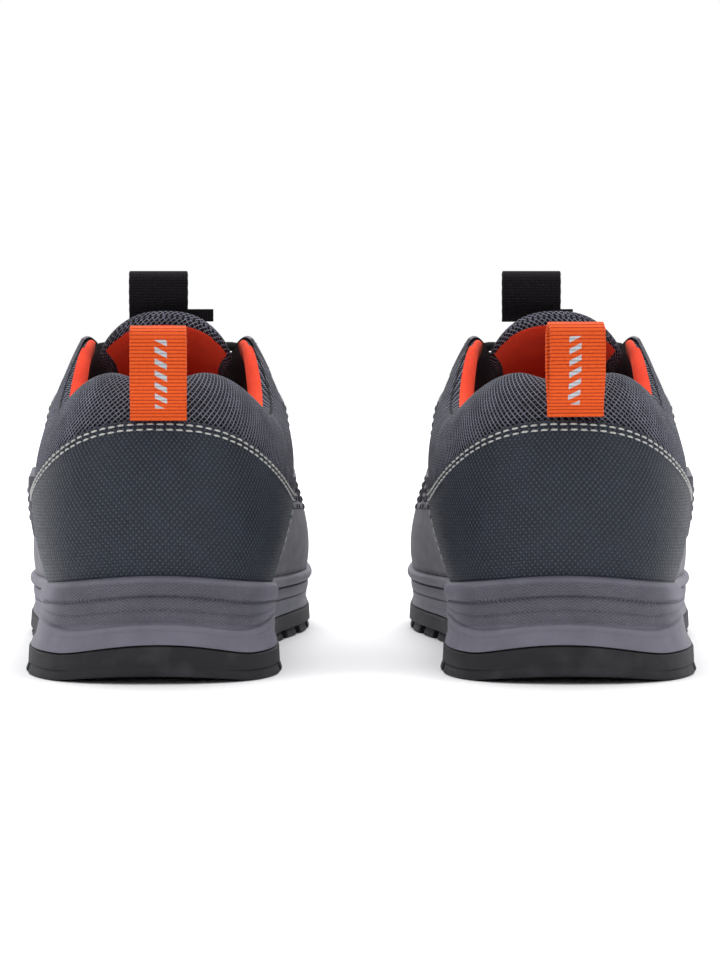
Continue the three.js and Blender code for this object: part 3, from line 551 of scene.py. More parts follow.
def foam_look():
    """Moulded midsole foam: matt skin, a fine knurl round the heel with painted shade in its pits, scuffs."""
    k = Look("midsole foam", Roughness=0.62, Specular_IOR_Level=0.35)
    heel = k.math("MULTIPLY", k.range(k.math("ABSOLUTE", k.s), 34, 46, 1.0, 0.0),
                  k.math("MULTIPLY", k.range(k.t, 1.2, 2.4, 0.0, 1.0), k.range(k.t, 14.2, 15.0, 1.0, 0.0)))
    tall = k.math("MULTIPLY", k.t, 1.5)
    a = k.ridge(k.math("ADD", k.s, tall), 1.55)
    b = k.ridge(k.math("SUBTRACT", k.s, tall), 1.55)
    knurl = k.math("MULTIPLY", k.math("MINIMUM", a, b), heel)
    speck = k.noise(1.4, 5, 0.75)
    patch = k.noise(0.06, 4)
    tone = k.math("ADD", k.math("MULTIPLY", speck, 0.3), k.math("MULTIPLY", patch, 0.7))
    base = k.ramp(tone, (0.25, (90, 89, 100)), (0.5, (106, 105, 117)), (0.75, (119, 118, 130)))
    scuff = k.range(k.noise(0.4, 6, 0.8, (0.4, 2, 1)), 0.62, 0.75, 0.0, 0.35)
    skin = k.mix(scuff, base, linear((126, 124, 132)))
    # painted shade in the knurl's pits, darkening them towards (48, 48, 56)
    knurl_pit_shade = k.math("MULTIPLY", k.math("SUBTRACT", heel, knurl), 0.35)
    k.colour(k.mix(knurl_pit_shade, skin, linear((48, 48, 56))))
    k.rough(k.range(speck, 0.3, 0.7, 0.55, 0.72))
    k.bump(k.math("ADD", knurl, k.math("MULTIPLY", speck, 0.25)), 0.45)
    return k.mat


def rubber_look(name="outsole rubber", low=(16, 16, 20), mid=(27, 26, 32), high=(44, 43, 50)):
    k = Look(name, Roughness=0.7, Specular_IOR_Level=0.4)
    speck = k.noise(1.8, 6, 0.8)
    dust = k.range(k.solid_noise(90, 6), 0.5, 0.72, 0.0, 0.4)
    k.colour(k.mix(dust, k.ramp(speck, (0.3, low), (0.55, mid), (0.85, high)), linear((62, 61, 66))))
    k.rough(k.range(speck, 0.3, 0.7, 0.6, 0.85))
    k.bump(speck, 0.2)
    return k.mat


def overlay_look(name="overlay", low=(86, 85, 93), mid=(106, 105, 113), high=(126, 125, 133)):
    """Smooth synthetic suede with a fine grain and rubbed patches."""
    k = Look(name, Roughness=0.66, Specular_IOR_Level=0.3)
    grain = k.noise(2.4, 5, 0.75)
    patch = k.noise(0.08, 4)
    tone = k.math("ADD", k.math("MULTIPLY", grain, 0.4), k.math("MULTIPLY", patch, 0.6))
    k.colour(k.ramp(tone, (0.28, low), (0.5, mid), (0.74, high)))
    k.rough(k.range(grain, 0.3, 0.7, 0.55, 0.78))
    k.bump(grain, 0.12)
    return k.mat


def thread_look(name="stitching", low=(120, 120, 122), high=(206, 206, 202)):
    k = Look(name, Roughness=0.6, Specular_IOR_Level=0.3)
    twist = k.ridge(k.math("ADD", k.s, k.t), 0.35)
    k.colour(k.ramp(twist, (0.0, low), (0.7, high)))
    k.bump(twist, 0.1)
    return k.mat


def braid_look():
    k = Look("lace", Roughness=0.8, Specular_IOR_Level=0.25)
    a = k.wave(k.math("ADD", k.s, k.t), 1.4)
    b = k.wave(k.math("SUBTRACT", k.s, k.t), 1.4)
    weave = k.math("ABSOLUTE", k.math("MULTIPLY", a, b))
    k.colour(k.ramp(weave, (0.0, (8, 8, 10)), (0.6, (24, 22, 27)), (1.0, (52, 50, 57))))
    k.bump(weave, 0.3)
    return k.mat


def board_look():
    k = Look("fibre board", Roughness=0.9)
    k.colour(k.ramp(k.solid_noise(400, 5), (0.3, (160, 144, 118)), (0.7, (196, 181, 152))))
    k.bump(k.solid_noise(900, 3), 0.1)
    return k.mat


def aglet_look():
    k = Look("aglet", Roughness=0.3, Coat_Weight=0.5, Coat_Roughness=0.15)
    k.colour(k.ramp(k.solid_noise(300, 3), (0.3, (14, 13, 16)), (0.7, (30, 28, 33))))
    return k.mat


# in both knits the hole colour is painted shade in the mesh's openings, and one yarn set is painted shaded
KNIT = knit_look("collar knit")
VAMP = knit_look("vamp knit", hole_shade=(12, 12, 15), shade=(34, 34, 40), yarn=(76, 77, 88), pitch=1.7)
COUNTER = counter_look()
LINING = lining_look()
FOOTBED = lining_look("footbed", warm=(40, 38, 44), deep=(22, 21, 26), sheen=0.05)
ORANGE = orange_look()
WEB = webbing_look()
FOAM = foam_look()
RUBBER = rubber_look()
TOE_RUBBER = rubber_look("toe rubber", (30, 32, 39), (42, 44, 52), (60, 62, 70))
OVERLAY = overlay_look()
THREAD = thread_look()
DARK_THREAD = thread_look("dark stitching", (40, 40, 46), (74, 74, 82))
BRAID = braid_look()
BOARD = board_look()
AGLET = aglet_look()


# ---------- camera, light and floor ----------
def camera():
    data = bpy.data.cameras.new("camera")
    data.sensor_width = 36
    data.lens = 177
    data.clip_end = 50
    obj = bpy.data.objects.new("camera", data)
    bpy.context.scene.collection.objects.link(obj)
    obj.location = (0, -1.606, 0.150)
    obj.rotation_euler = (math.radians(90 - 3.35), 0, 0)
    bpy.context.scene.camera = obj


def area_light(name, place, target, size, power):
    data = bpy.data.lights.new(name, "AREA")
    data.shape = "RECTANGLE"
    data.size, data.size_y = size
    data.energy = power
    obj = bpy.data.objects.new(name, data)
    bpy.context.scene.collection.objects.link(obj)
    obj.location = place
    obj.rotation_euler = (Vector(target) - Vector(place)).to_track_quat("-Z", "Y").to_euler()


def stage_sheet(name, profile, half_width):
    verts = [(x, y, z) for y, z in profile for x in (-half_width, half_width)]
    faces = [(2 * i, 2 * i + 1, 2 * i + 3, 2 * i + 2) for i in range(len(profile) - 1)]
    mesh = bpy.data.meshes.new(name)
    mesh.from_pydata(verts, [], faces)
    mesh.polygons.foreach_set("use_smooth", np.ones(len(faces), bool))
    obj = bpy.data.objects.new(name, mesh)
    bpy.context.scene.collection.objects.link(obj)
    return obj


def studio():
    scene = bpy.context.scene
    scene.view_settings.view_transform = "Standard"
    world = bpy.data.worlds.new("world")
    world.use_nodes = True
    background = next(n for n in world.node_tree.nodes if n.type == "BACKGROUND")
    background.inputs[0].default_value = (1, 1, 1, 1)
    seen = world.node_tree.nodes.new("ShaderNodeLightPath")         # white to the eye, softer as a light
    strength = world.node_tree.nodes.new("ShaderNodeMapRange")
    strength.inputs["To Min"].default_value = 0.42
    strength.inputs["To Max"].default_value = 1.0
    world.node_tree.links.new(seen.outputs["Is Camera Ray"], strength.inputs["Value"])
    world.node_tree.links.new(strength.outputs[0], background.inputs[1])
    scene.world = world
    area_light("top light", (0, 0.45, 2.4), (0, -0.05, 0), (2.6, 2.6), 78)
    area_light("left light", (-1.5, -1.0, 0.8), (0, -0.1, 0.06), (0.8, 0.9), 8)
    area_light("right light", (1.5, -0.9, 0.8), (0, -0.1, 0.06), (0.8, 0.9), 8)
    floor = stage_sheet("floor", [(-1.7, 0.0), (0.0, 0.0), (1.7, 0.0)], 1.7)
    k = Look("floor", Roughness=0.7, Specular_IOR_Level=0.1)
    k.colour(k.ramp(k.solid_noise(3, 2), (0.3, (247, 247, 249)), (0.7, (251, 251, 252))))
    floor.data.materials.append(k.mat)
    wall = stage_sheet("backdrop", [(2.2, -0.1), (2.2, 2.2)], 2.6)
    k = Look("backdrop", Roughness=1.0, Emission_Strength=1.0)
    k.shader.inputs["Emission Color"].default_value = (1, 1, 1, 1)
    k.colour(k.ramp(k.solid_noise(3, 2), (0.3, (250, 250, 250)), (0.7, (254, 254, 254))))
    wall.data.materials.append(k.mat)
    wall.visible_camera = False         # it lights the shoes, and hides nothing from a camera beyond it


camera()
studio()


# ---------- the sole ----------
ALL_ROUND = np.linspace(-11, 11, 441)


def sole_rows(u):
    p = surface(u, 0)
    return p[..., 2] - 0.3, outsole_top(p[..., 1]) + 0.15


def notch(t, at, width):
    return np.exp(-((t - at) / width) ** 2)


def midsole(shoe):
    u = ALL_ROUND[:, None]
    t = np.concatenate([[0, 0.008, 0.02, 0.035], np.linspace(0.05, 0.97, 72), [0.985, 1]])[None, :]
    top, bottom = sole_rows(u)
    height = top - bottom
    heel = 1 - smooth(1.9, 2.75, np.abs(u))
    bend = smooth(0.6, 2.6, np.abs(u)) ** 1.4
    lip = 0.8 + 2.1 * np.sqrt(np.clip(1 - (1 - np.clip(t / 0.07, 0, 1)) ** 2, 0, 1))
    out = lip + 0.8 * np.sin(np.pi * np.clip(t / 0.3, 0, 1)) - 0.3 * smooth(0.3, 0.8, t) + 0.9 * smooth(0.8, 1, t)
    out = out - 1.15 * notch(t, 0.30, 0.022) - 0.25 * smooth(0.3, 0.34, t) * (1 - smooth(0.34, 0.5, t))
    for at, end, depth, width in ((0.50, 0.385, 0.5, 0.02), (0.685, 0.44, 0.9, 0.022), (0.80, 0.62, 0.3, 0.018)):
        out = out - heel * depth * notch(t, lerp(at, end, bend), width)
    for at, end in ((0.4, 0.35), (0.59, 0.41)):
        out = out + heel * 0.35 * notch(t, lerp(at, end, bend), 0.07)
    side = 1 - heel
    out = out - side * 0.7 * notch(t, 0.62, 0.02) * smooth(2.9, 3.6, np.abs(u))
    out = out + (flare(u) - 4) * t ** 1.3
    p = outline(np.broadcast_to(u, out.shape), out)
    p[..., 2] = lerp(top, bottom, t)
    uv = np.stack([np.broadcast_to(around_mm(u), out.shape), t * height], -1)
    mesh = Mesh()
    mesh.grid(p, uv, closed_u=True, flip=True)
    under = across(bottom_line(-1.5), 20)
    mesh.grid(under, np.stack([under[..., 0], under[..., 1]], -1), flip=True)
    mesh.make("midsole_foam", shoe, [FOAM], slot="foam", replaces=["midsole"])


def bottom_line(out):
    u = np.linspace(0, 11, 121)

    def line(side):
        p = outline(side * u, flare(side * u) + out)
        p[:, 2] = outsole_top(surface(side * u, 0)[:, 1]) + 0.1
        return p
    return line(1), line(-1)


def across(lines, steps):
    """A grid that spans from one side line to the other."""
    a, b = lines
    t = np.linspace(0, 1, steps + 1)[None, :, None]
    return a[:, None] * (1 - t) + b[:, None] * t


def block(mesh, u0, u1, out0, out1, steps):
    """A lug: rounded along its foot, with chamfered ends."""
    top = LUG_HEIGHT + 0.5
    r = 0.7
    arc = [(math.sin(a), 1 - math.cos(a)) for a in np.linspace(0, math.pi / 2, 5)]
    side = [(out0 - r + r * x, r * y) for x, y in arc]
    inner = [(out1 + r - r * x, r * y) for x, y in arc[::-1]]
    ring = [(out0 - 1.2, top)] + side[::-1] + inner[::-1] + [(out1, top)]
    us = np.concatenate([[u0 + 0.001, u0 + 0.004, u0 + 0.03], np.linspace(u0 + 0.06, u1 - 0.06, steps + 1),
                         [u1 - 0.03, u1 - 0.004, u1 - 0.001]])
    shrink = np.concatenate([[1.0, 0.45, 0.1], np.zeros(steps + 1), [0.1, 0.45, 1.0]]) * 0.5
    cols = []
    centre = np.mean(np.array(ring), 0)
    for u, k in zip(us, shrink):
        pts = []
        for out, z in ring:
            o = out + np.sign(centre[0] - out) * k
            q = outline(np.array(u), flare(u) + o)
            pts.append((q[0], q[1], sole_bottom(q[1]) + min(z + k * (z < 1), top)))
        cols.append(pts)
    p = np.array(cols)
    middle0, middle1 = p[0].mean(0, keepdims=True), p[-1].mean(0, keepdims=True)
    p = np.concatenate([np.broadcast_to(middle0, p[:1].shape), p, np.broadcast_to(middle1, p[:1].shape)])
    p = np.concatenate([p, p[:, :1]], 1)
    mesh.grid(p, arc_uv(p), closed_v=True)


def outsole(shoe):
    mesh = Mesh()
    u = ALL_ROUND[:, None]
    t = np.linspace(0, 1, 14)[None, :]
    p0 = surface(u, 0)
    top, low = outsole_top(p0[..., 1]) - 0.15, sole_bottom(p0[..., 1]) + LUG_HEIGHT
    out = flare(u) - 0.5 + 0.55 * np.sin(np.pi * np.clip(t * 4, 0, 0.5)) + 0.25 * t
    out = out - 1.4 * (t <= 0)
    p = outline(np.broadcast_to(u, out.shape), out)
    p[..., 2] = lerp(top, low - 0.2, t)
    mesh.grid(p, np.stack([np.broadcast_to(around_mm(u), out.shape), t * (top - low)], -1), closed_u=True, flip=True)
    half = np.linspace(0, 11, 121)
    lines = []
    for side in (1, -1):
        q = outline(side * half, flare(side * half) - 0.2)
        q[:, 2] = sole_bottom(surface(side * half, 0)[:, 1]) + LUG_HEIGHT - 0.2
        lines.append(q)
    under = across(lines, 24)
    mesh.grid(under, np.stack([under[..., 0], under[..., 1]], -1), flip=True)
    block(mesh, -2, 2, 1, -LUG_DEPTH, 40)
    for side in (1, -1):
        for u0, u1 in ((2.15, 2.75), (2.95, 3.45)):
            block(mesh, *sorted((side * u0, side * u1)), 1, -LUG_DEPTH, 8)
        for u0 in np.arange(5.3, 10.1, 0.68):
            block(mesh, *sorted((side * u0, side * (u0 + 0.46))), 0, -LUG_DEPTH, 6)
    block(mesh, 10.35, 11.65, -0.6, -LUG_DEPTH, 16)
    for f in (0.22, 0.29, 0.51, 0.57, 0.63, 0.69, 0.75, 0.81, 0.87):
        chevron(mesh, f)
    mesh.make("outsole_rubber", shoe, [RUBBER], slot="rubber", replaces=["outsole"])


def chevron(mesh, f):
    y = f * SHOE_LENGTH
    half = 21 * (0.6 if f < 0.4 else 0.7 if f > 0.8 else 1)
    shift = 3 if f > 0.8 else 0
    corners = np.array([(-half, -6), (0, 0), (half, -6), (half, 0), (0, 6), (-half, 0)], float)
    centre = np.array([(0, 0.0)])
    rings = []
    for inset, z in ((0.0, LUG_HEIGHT + 0.4), (0.0, 0.6), (0.5, 0.0)):
        ring = corners + (centre - corners) * (inset / half)
        ring = np.array([ring[i] * (1 - t) + ring[(i + 1) % 6] * t for i in range(6) for t in (0, 0.25, 0.5, 0.75)])
        q = np.column_stack([ring[:, 0] + shift, ring[:, 1] + y, np.zeros(len(ring))])
        q[:, 2] = sole_bottom(q[:, 1]) + z
        rings.append(q)
    spine = rings[-1].copy()
    spine[:, 1] = y + np.interp(np.abs(spine[:, 0] - shift), [0, half], [3, -3])
    spine[:, 2] = sole_bottom(spine[:, 1])
    p = np.stack(rings + [spine], 1)
    p = np.concatenate([p, p[:1]])
    mesh.grid(p, arc_uv(p), closed_u=True, flip=True)


FOOTBED_INSET = MESH_THICKNESS + LAYER_GAP + LINING_THICKNESS + 4 * LAYER_GAP


def insole(shoe):
    mesh = Mesh()
    half = np.linspace(0, 11, 121)
    drop = [(0.5, 1.8), (0.05, 3.6), (0.0, 5.2), (0.45, 6.0), (1.2, 6.3)]
    rows = []
    for inset, rise in drop:
        line = []
        for side in (1, -1):
            q = outline(side * half, np.full(len(half), -FOOTBED_INSET - inset))
            q[:, 2] = surface(side * half, 0)[:, 2] + rise
            line.append(q)
        rows.append(line)
    ring = [np.concatenate([r[0], r[1][::-1][1:]]) for r in rows]
    p = np.stack(ring, 1)
    mesh.grid(p, arc_uv(p))
    top = across(rows[-1], 40)
    b = np.linspace(-1, 1, 41)[None, :]
    top[..., 2] -= 1.4 * (1 - b ** 2) * smooth(0, 0.4, half[:, None]) * (1 - smooth(10.4, 11, half[:, None]))
    mesh.grid(top, np.stack([top[..., 0], top[..., 1]], -1), flip=True)
    mesh.make("footbed", shoe, [FOOTBED], slot="footbed", replaces=["insole"], merge=0.02)


# ---------- stitches ----------
def stitches(mesh, p, n, pitch=3.1, length=2.3, radius=0.28, phase=0.0, lift=0.12):
    """A row of single stitches along the line p, with outward directions n."""
    s = lengths(p)

    def at(x):
        return (np.array([np.interp(x, s, p[:, i]) for i in range(3)]).T,
                unit(np.array([np.interp(x, s, n[:, i]) for i in range(3)]).T))

    angle = np.linspace(0, 2 * math.pi, 9)
    for i, start in enumerate(np.arange(phase, s[-1] - length, pitch)):
        wave = 0.05 * math.sin(i * 2.4)
        x = start + length * np.array([0, 0.08, 0.25, 0.5, 0.75, 0.92, 1])
        size = radius * np.array([0.25, 0.7, 0.95, 1.0, 0.95, 0.7, 0.25])
        rise = lift + radius * np.array([-0.9, -0.25, 0.15, 0.3, 0.15, -0.25, -0.9])
        q, up = at(x)
        d = unit(q[-1] - q[0])
        side = unit(np.cross(np.broadcast_to(d, up.shape), up))
        centre = q + up * rise[:, None] + side * wave
        ring = (centre[:, None] + side[:, None] * (size[:, None] * np.cos(angle))[..., None] * 1.15
                + up[:, None] * (size[:, None] * np.sin(angle))[..., None])
        mesh.grid(ring, arc_uv(ring), closed_v=True, flip=True)


def stitch_on_upper(mesh, u, v, out, **settings):
    u, v = np.broadcast_arrays(u, v)
    stitches(mesh, offset(u, v, out), normal_at(u, v), **settings)


# ---------- the upper ----------
VAMP_START = 3.0                   # under the heel counter
OVERLAY_TOP = 1 / 3
STAY_BOTTOM = 5 / 6


def creases(u, t):
    """Soft folds where the forefoot bends."""
    a = np.minimum(np.abs(u), AROUND - np.abs(u))
    zone = smooth(6.9, 7.4, a) * (1 - smooth(8.4, 9.0, a)) * smooth(0.3, 0.5, t) * (1 - smooth(0.75, 0.95, t))
    return -0.5 * zone * (0.5 + 0.5 * np.cos((a - 7.6) * 7.5 + 2 * t))


def vamp(shoe):
    mesh = Mesh()
    u = np.linspace(VAMP_START, AROUND - VAMP_START, 367)
    v = np.broadcast_to(np.linspace(0, 1, 61), (len(u), 61))
    u2 = np.broadcast_to(u[:, None], v.shape)
    p = offset(u2, v, creases(u2, v))
    mesh.grid(p, np.stack([around_mm(u2), v * girth(u)[:, None]], -1))
    mesh.make("vamp_knit", shoe, [VAMP], slot="mesh", replaces=["vamp"])


def heel_counter(shoe):
    u = np.concatenate([[-3.2, -3.197, -3.19, -3.18], np.linspace(-3.16, 3.16, 241), [3.18, 3.19, 3.197, 3.2]])
    t = edged(64, 0.6, 55)
    v = -0.02 + (counter_top(u)[:, None] + 0.02) * t[None, :]
    mesh = Mesh()
    panel(mesh, u, v, edge=0.6)
    mesh.make("counter_panel", shoe, [COUNTER], slot="counter", replaces=["heel_counter"])
    thread = Mesh()
    u = np.linspace(-3.14, 3.14, 400)
    length = girth(u)
    for down in (1.5, 3.3):
        stitch_on_upper(thread, u, counter_top(u) - down / length, PANEL[1], phase=0.4 * down)
    for side in (1, -1):
        v = np.linspace(0.02, float(counter_top(3.2)) - 0.09, 60)
        stitch_on_upper(thread, side * 3.12, v, PANEL[1], pitch=3.1)
    thread.make("counter_stitching", shoe, [THREAD])


def edge_pad(u):
    return 1 - smooth(3.4, 5.6, np.abs(u))


COLLAR_END = 5.15
THROAT = 5.35                      # ahead of it the lining is dark
COLLAR_PUFF = 0.7


def collar_section(u):
    """The padded collar's outline at u, as (height, distance in)."""
    c = float(edge_pad(u))
    length = float(girth(np.array(u)))
    top = float(counter_top(u)) if abs(u) < 3.4 else lerp(float(counter_top(3.4)), 0.66, (abs(u) - 3.4) / 1.75)
    low = top * length - 1.5
    thick = 2.6 + 7.2 * c
    rise = 3.0 * c + 0.4
    r = thick / 2
    outer = -0.15
    points = [(low, 1.2), (low + 0.8, 0.3), (low + 2.2, outer - 0.5 * COLLAR_PUFF)]
    for t in (0.25, 0.45, 0.65, 0.85):
        points.append((lerp(low + 2.2, length + rise - r, t),
                       outer - COLLAR_PUFF * (0.6 + 0.6 * math.sin(math.pi * t))))
    for a in np.linspace(0, math.pi, 13):
        points.append((length + rise - r + r * math.sin(a), outer + r - r * math.cos(a)))
    inside = outer + thick
    bottom = max(length - 24, length * 0.5)
    for t in (0.25, 0.5, 0.75, 1.0):
        points.append((lerp(length + rise - r, bottom, t),
                       inside + 0.5 * c * math.sin(math.pi * t) - (thick - 5.4) * c * t ** 2))
    points += [(bottom - 0.5, lerp(inside, 4.6, c)), (bottom + 2, 2.4), (lerp(bottom, low, 0.6) + 0.5, 2.0)]
    return points


def resample(points, n):
    p = np.array(points)
    s = lengths(p)
    x = np.linspace(0, s[-1], n)
    return np.column_stack([np.interp(x, s, p[:, 0]), np.interp(x, s, p[:, 1])])


def soften(p, times=2):
    for _ in range(times):
        p[1:-1] = (p[:-2] + 2 * p[1:-1] + p[2:]) / 4
    return p


def collar(shoe):
    """The padded ankle ring: knit outside, lining inside, blown up by cloth between its seams."""
    us = np.linspace(-COLLAR_END, COLLAR_END, 181)
    cols, mats = [], []
    n = 56
    for u in us:
        points = collar_section(u)
        closed = soften(resample(points + points[:1], n + 1), 2)
        length = float(girth(np.array(u)))
        cols.append(offset(u, closed[:, 0] / length, -closed[:, 1]))
        c = float(edge_pad(u))
        top_at = int(np.argmax(closed[:, 0]))
        split = top_at - (2 if c > 0.3 else 1)
        mats.append([0 if j < split or j > n - 9 else 1 for j in range(n)])
    p = np.array(cols)
    p[:, -1] = p[:, 0]
    mesh = Mesh()
    s = lengths_across(p)
    face = p[:, 10]                # texture: level lengths round the outer face, heights from it
    along = lengths(face[:, :2])
    uv = np.stack([np.broadcast_to(along[:, None], s.shape), s - s[:, 10:11] + face[:, 2:3]], -1)
    mesh.grid(p, uv, closed_v=True, mat=np.array(mats)[:-1])
    for end, flip in ((0, False), (-1, True)):
        middle = p[end, :-1].mean(0)
        fan = np.stack([np.broadcast_to(middle, p[end].shape), p[end]], 0)
        mesh.grid(fan, np.zeros((2, n + 1, 2)), closed_v=True, flip=flip)
    obj = mesh.make("padded_collar", shoe, [KNIT, LINING], slot="padding",
                    replaces=["quarter", "collar_padding"], merge=0.001)
    held = set()
    for i in range(len(us)):
        for j in list(range(0, 4)) + list(range(n - 12, n)):
            held.add(i * n + j)
    for i in list(range(3)) + list(range(len(us) - 3, len(us))):
        held.update(i * n + j for j in range(n))
    inflate(obj, held, pressure=3.0, cap=1.1)


def inflate(obj, held, pressure, cap, frames=16):
    """Cloth under pressure between the held points, applied to the mesh, each point's move capped in millimetres."""
    mesh = obj.data
    rest = np.zeros(len(mesh.vertices) * 3)
    mesh.vertices.foreach_get("co", rest)
    rest = rest.reshape(-1, 3)
    group = obj.vertex_groups.new(name="held")
    group.add([i for i in held if i < len(rest)], 1.0, "REPLACE")
    cloth = obj.modifiers.new("cloth", "CLOTH")
    s = cloth.settings
    s.quality = 5
    s.mass = 0.3
    s.tension_stiffness = s.compression_stiffness = 15
    s.shear_stiffness = 5
    s.bending_stiffness = 0.5
    s.use_pressure = True
    s.uniform_pressure_force = pressure
    s.vertex_group_mass = "held"
    s.effector_weights.gravity = 0
    cloth.point_cache.frame_start = 1
    cloth.point_cache.frame_end = frames
    scene = bpy.context.scene
    for f in range(1, frames + 1):
        scene.frame_set(f)
    done = obj.evaluated_get(bpy.context.evaluated_depsgraph_get()).to_mesh()
    now = np.zeros(len(done.vertices) * 3)
    done.vertices.foreach_get("co", now)
    now = now.reshape(-1, 3)
    obj.modifiers.remove(cloth)
    obj.vertex_groups.remove(group)
    scene.frame_set(1)
    move = now - rest
    size = np.linalg.norm(move, axis=1, keepdims=True)
    move *= np.minimum(1, cap / 1000 / np.maximum(size, 1e-9))
    mesh.vertices.foreach_set("co", (rest + move).ravel().astype(np.float32))
    mesh.update()
    fine = obj.modifiers.new("fine", "SUBSURF")
    fine.levels = fine.render_levels = 1
    apply_modifiers(obj)


def apply_modifiers(obj):
    bpy.context.view_layer.update()
    done = bpy.data.meshes.new_from_object(obj.evaluated_get(bpy.context.evaluated_depsgraph_get()))
    obj.modifiers.clear()
    old = obj.data
    obj.data = done
    done.name = obj.name
    bpy.data.meshes.remove(old)


def lining(shoe):
    mesh = Mesh()
    us = np.linspace(-11, 11, 353)
    base = MESH_THICKNESS + LAYER_GAP + STIFFENER_THICKNESS + LAYER_GAP + LINING_THICKNESS
    cols = []
    for u in us:
        c = float(edge_pad(u))
        length = float(girth(np.array(u)))
        edge = lerp(3.0, base, c)
        line = [(length * 0.03, base), (length * 0.25, base), (length * 0.45, base),
                (length - 17, lerp(base, edge, 0.5)), (length - 8, lerp(edge, 4.0, c)),
                (length - 2, lerp(edge * 0.9, 3.6, c)), (length - 0.3, lerp(1.0, 3.2, c))]
        closed = soften(resample(line, 26), 1)
        cols.append(offset(u, closed[:, 0] / length, -closed[:, 1]))
    p = np.array(cols)
    throat = np.abs(us[:-1]) > THROAT
    mesh.grid(p, arc_uv(p), closed_u=True, flip=True, mat=np.repeat(throat.astype(int), p.shape[1] - 1))
    mesh.make("lining_knit", shoe, [LINING, FOOTBED], slot="lining", replaces=["lining"])


def side_overlay(shoe, side):
    mesh, thread = Mesh(), Mesh()

    def mirrored(u):
        return u if side > 0 else -u[::-1]

    u = mirrored(np.concatenate([[3.4, 3.403, 3.41, 3.42], np.linspace(3.44, 8.46, 181), [8.48, 8.49, 8.497, 8.5]]))
    v = np.broadcast_to(-0.01 + (OVERLAY_TOP + 0.01) * edged(30, 0.6, 20), (len(u), 38))
    panel(mesh, u, v, edge=0.6)
    stitch_on_upper(thread, np.linspace(u[4], u[-4], 300), OVERLAY_TOP - 0.028, PANEL[1], radius=0.24)
    bars = [(3.4, 0.7, 0, 0.53)] + [(start, 0.38, -0.3, 0.78) for start in (4.75, 5.5, 6.25, 7, 7.75)]
    for start, wide, lean, top in bars:
        e = 0.02
        end = start + wide
        u = mirrored(np.concatenate([[start, start + 0.12 * e, start + 0.35 * e],
                                     np.linspace(start + e, end - e, 26),
                                     [end - 0.35 * e, end - 0.12 * e, end]]))
        rows = edged(40, 0.6, 30)
        v = np.broadcast_to(lerp(0.22, top, rows), (len(u), len(rows)))
        face = PANEL[1] + (TAB_RISE if side < 0 and lean == 0 else 0.06)
        panel(mesh, u, v, faces=(PANEL[0], face), edge=0.6, lean=side * lean)
        line = np.linspace(0.3, top - 0.02, 60)
        for inset in (0.075, wide - 0.075):
            stitch_on_upper(thread, side * (start + inset) + side * lean * line, line, face, radius=0.24)
    which = "inner" if side > 0 else "outer"
    mesh.make(f"{which}_side_panel", shoe, [OVERLAY], slot="overlay", replaces=[which + "_overlay"])
    thread.make(f"{which}_side_stitching", shoe, [DARK_THREAD])


def toe_cap(shoe):
    mesh = Mesh()
    reach = 2.35
    u = 11 + reach * np.concatenate([[-1, -0.998, -0.995, -0.99], np.linspace(-0.985, 0.985, 161),
                                     [0.99, 0.995, 0.998, 1]])
    top = lerp(0.35, 0.2, (np.abs(u - 11) / reach) ** 2.5)
    v = -0.01 + (top[:, None] + 0.01) * edged(30, 0.8, 20)[None, :]
    panel(mesh, u, v, faces=(PANEL[0], PANEL[0] + 1.8), edge=0.9)
    mesh.make("toe_bumper", shoe, [TOE_RUBBER], slot="toe_rubber", replaces=["toe_cap"])


def eyestay(shoe):
    mesh, thread = Mesh(), Mesh()
    start = 4.95
    u = np.concatenate([[start, start + 0.003, start + 0.01], np.linspace(start + 0.02, AROUND - start - 0.02, 321),
                        [AROUND - start - 0.01, AROUND - start - 0.003, AROUND - start]])
    v = np.broadcast_to(lerp(STAY_BOTTOM, 1.0, edged(16, 0.6, 10)), (len(u), 24))
    panel(mesh, u, v, edge=0.6)
    line = np.linspace(start + 0.06, AROUND - start - 0.06, 500)
    for at in (STAY_BOTTOM + 0.028, 1 - 0.035):
        stitch_on_upper(thread, line, at, PANEL[1], radius=0.24)
    mesh.make("lacing_band", shoe, [OVERLAY], slot="overlay", replaces=["eyestay"])
    thread.make("lacing_stitching", shoe, [DARK_THREAD])


# ---------- webbing ----------
def curve_through(points, step):
    """A smooth line (centripetal Catmull-Rom) through points, cut at even steps."""
    p = np.array(points, float)
    ends = [2 * p[0] - p[1]], [2 * p[-1] - p[-2]]
    q = np.concatenate([ends[0], p, ends[1]])
    out = []
    for i in range(1, len(q) - 2):
        p0, p1, p2, p3 = q[i - 1:i + 3]
        t0 = 0.0
        t1 = t0 + max(np.linalg.norm(p1 - p0), 1e-6) ** 0.5
        t2 = t1 + max(np.linalg.norm(p2 - p1), 1e-6) ** 0.5
        t3 = t2 + max(np.linalg.norm(p3 - p2), 1e-6) ** 0.5
        t = np.linspace(t1, t2, 24, endpoint=False)[:, None]
        a1 = (t1 - t) / (t1 - t0) * p0 + (t - t0) / (t1 - t0) * p1
        a2 = (t2 - t) / (t2 - t1) * p1 + (t - t1) / (t2 - t1) * p2
        a3 = (t3 - t) / (t3 - t2) * p2 + (t - t2) / (t3 - t2) * p3
        b1 = (t2 - t) / (t2 - t0) * a1 + (t - t0) / (t2 - t0) * a2
        b2 = (t3 - t) / (t3 - t1) * a2 + (t - t1) / (t3 - t1) * a3
        out.append((t2 - t) / (t2 - t1) * b1 + (t - t1) / (t2 - t1) * b2)
    out.append(q[-2][None])
    line = np.concatenate(out)
    s = lengths(line)
    x = np.linspace(0, s[-1], max(3, int(s[-1] / step)))
    return np.stack([np.interp(x, s, line[:, i]) for i in range(line.shape[1])], -1), x


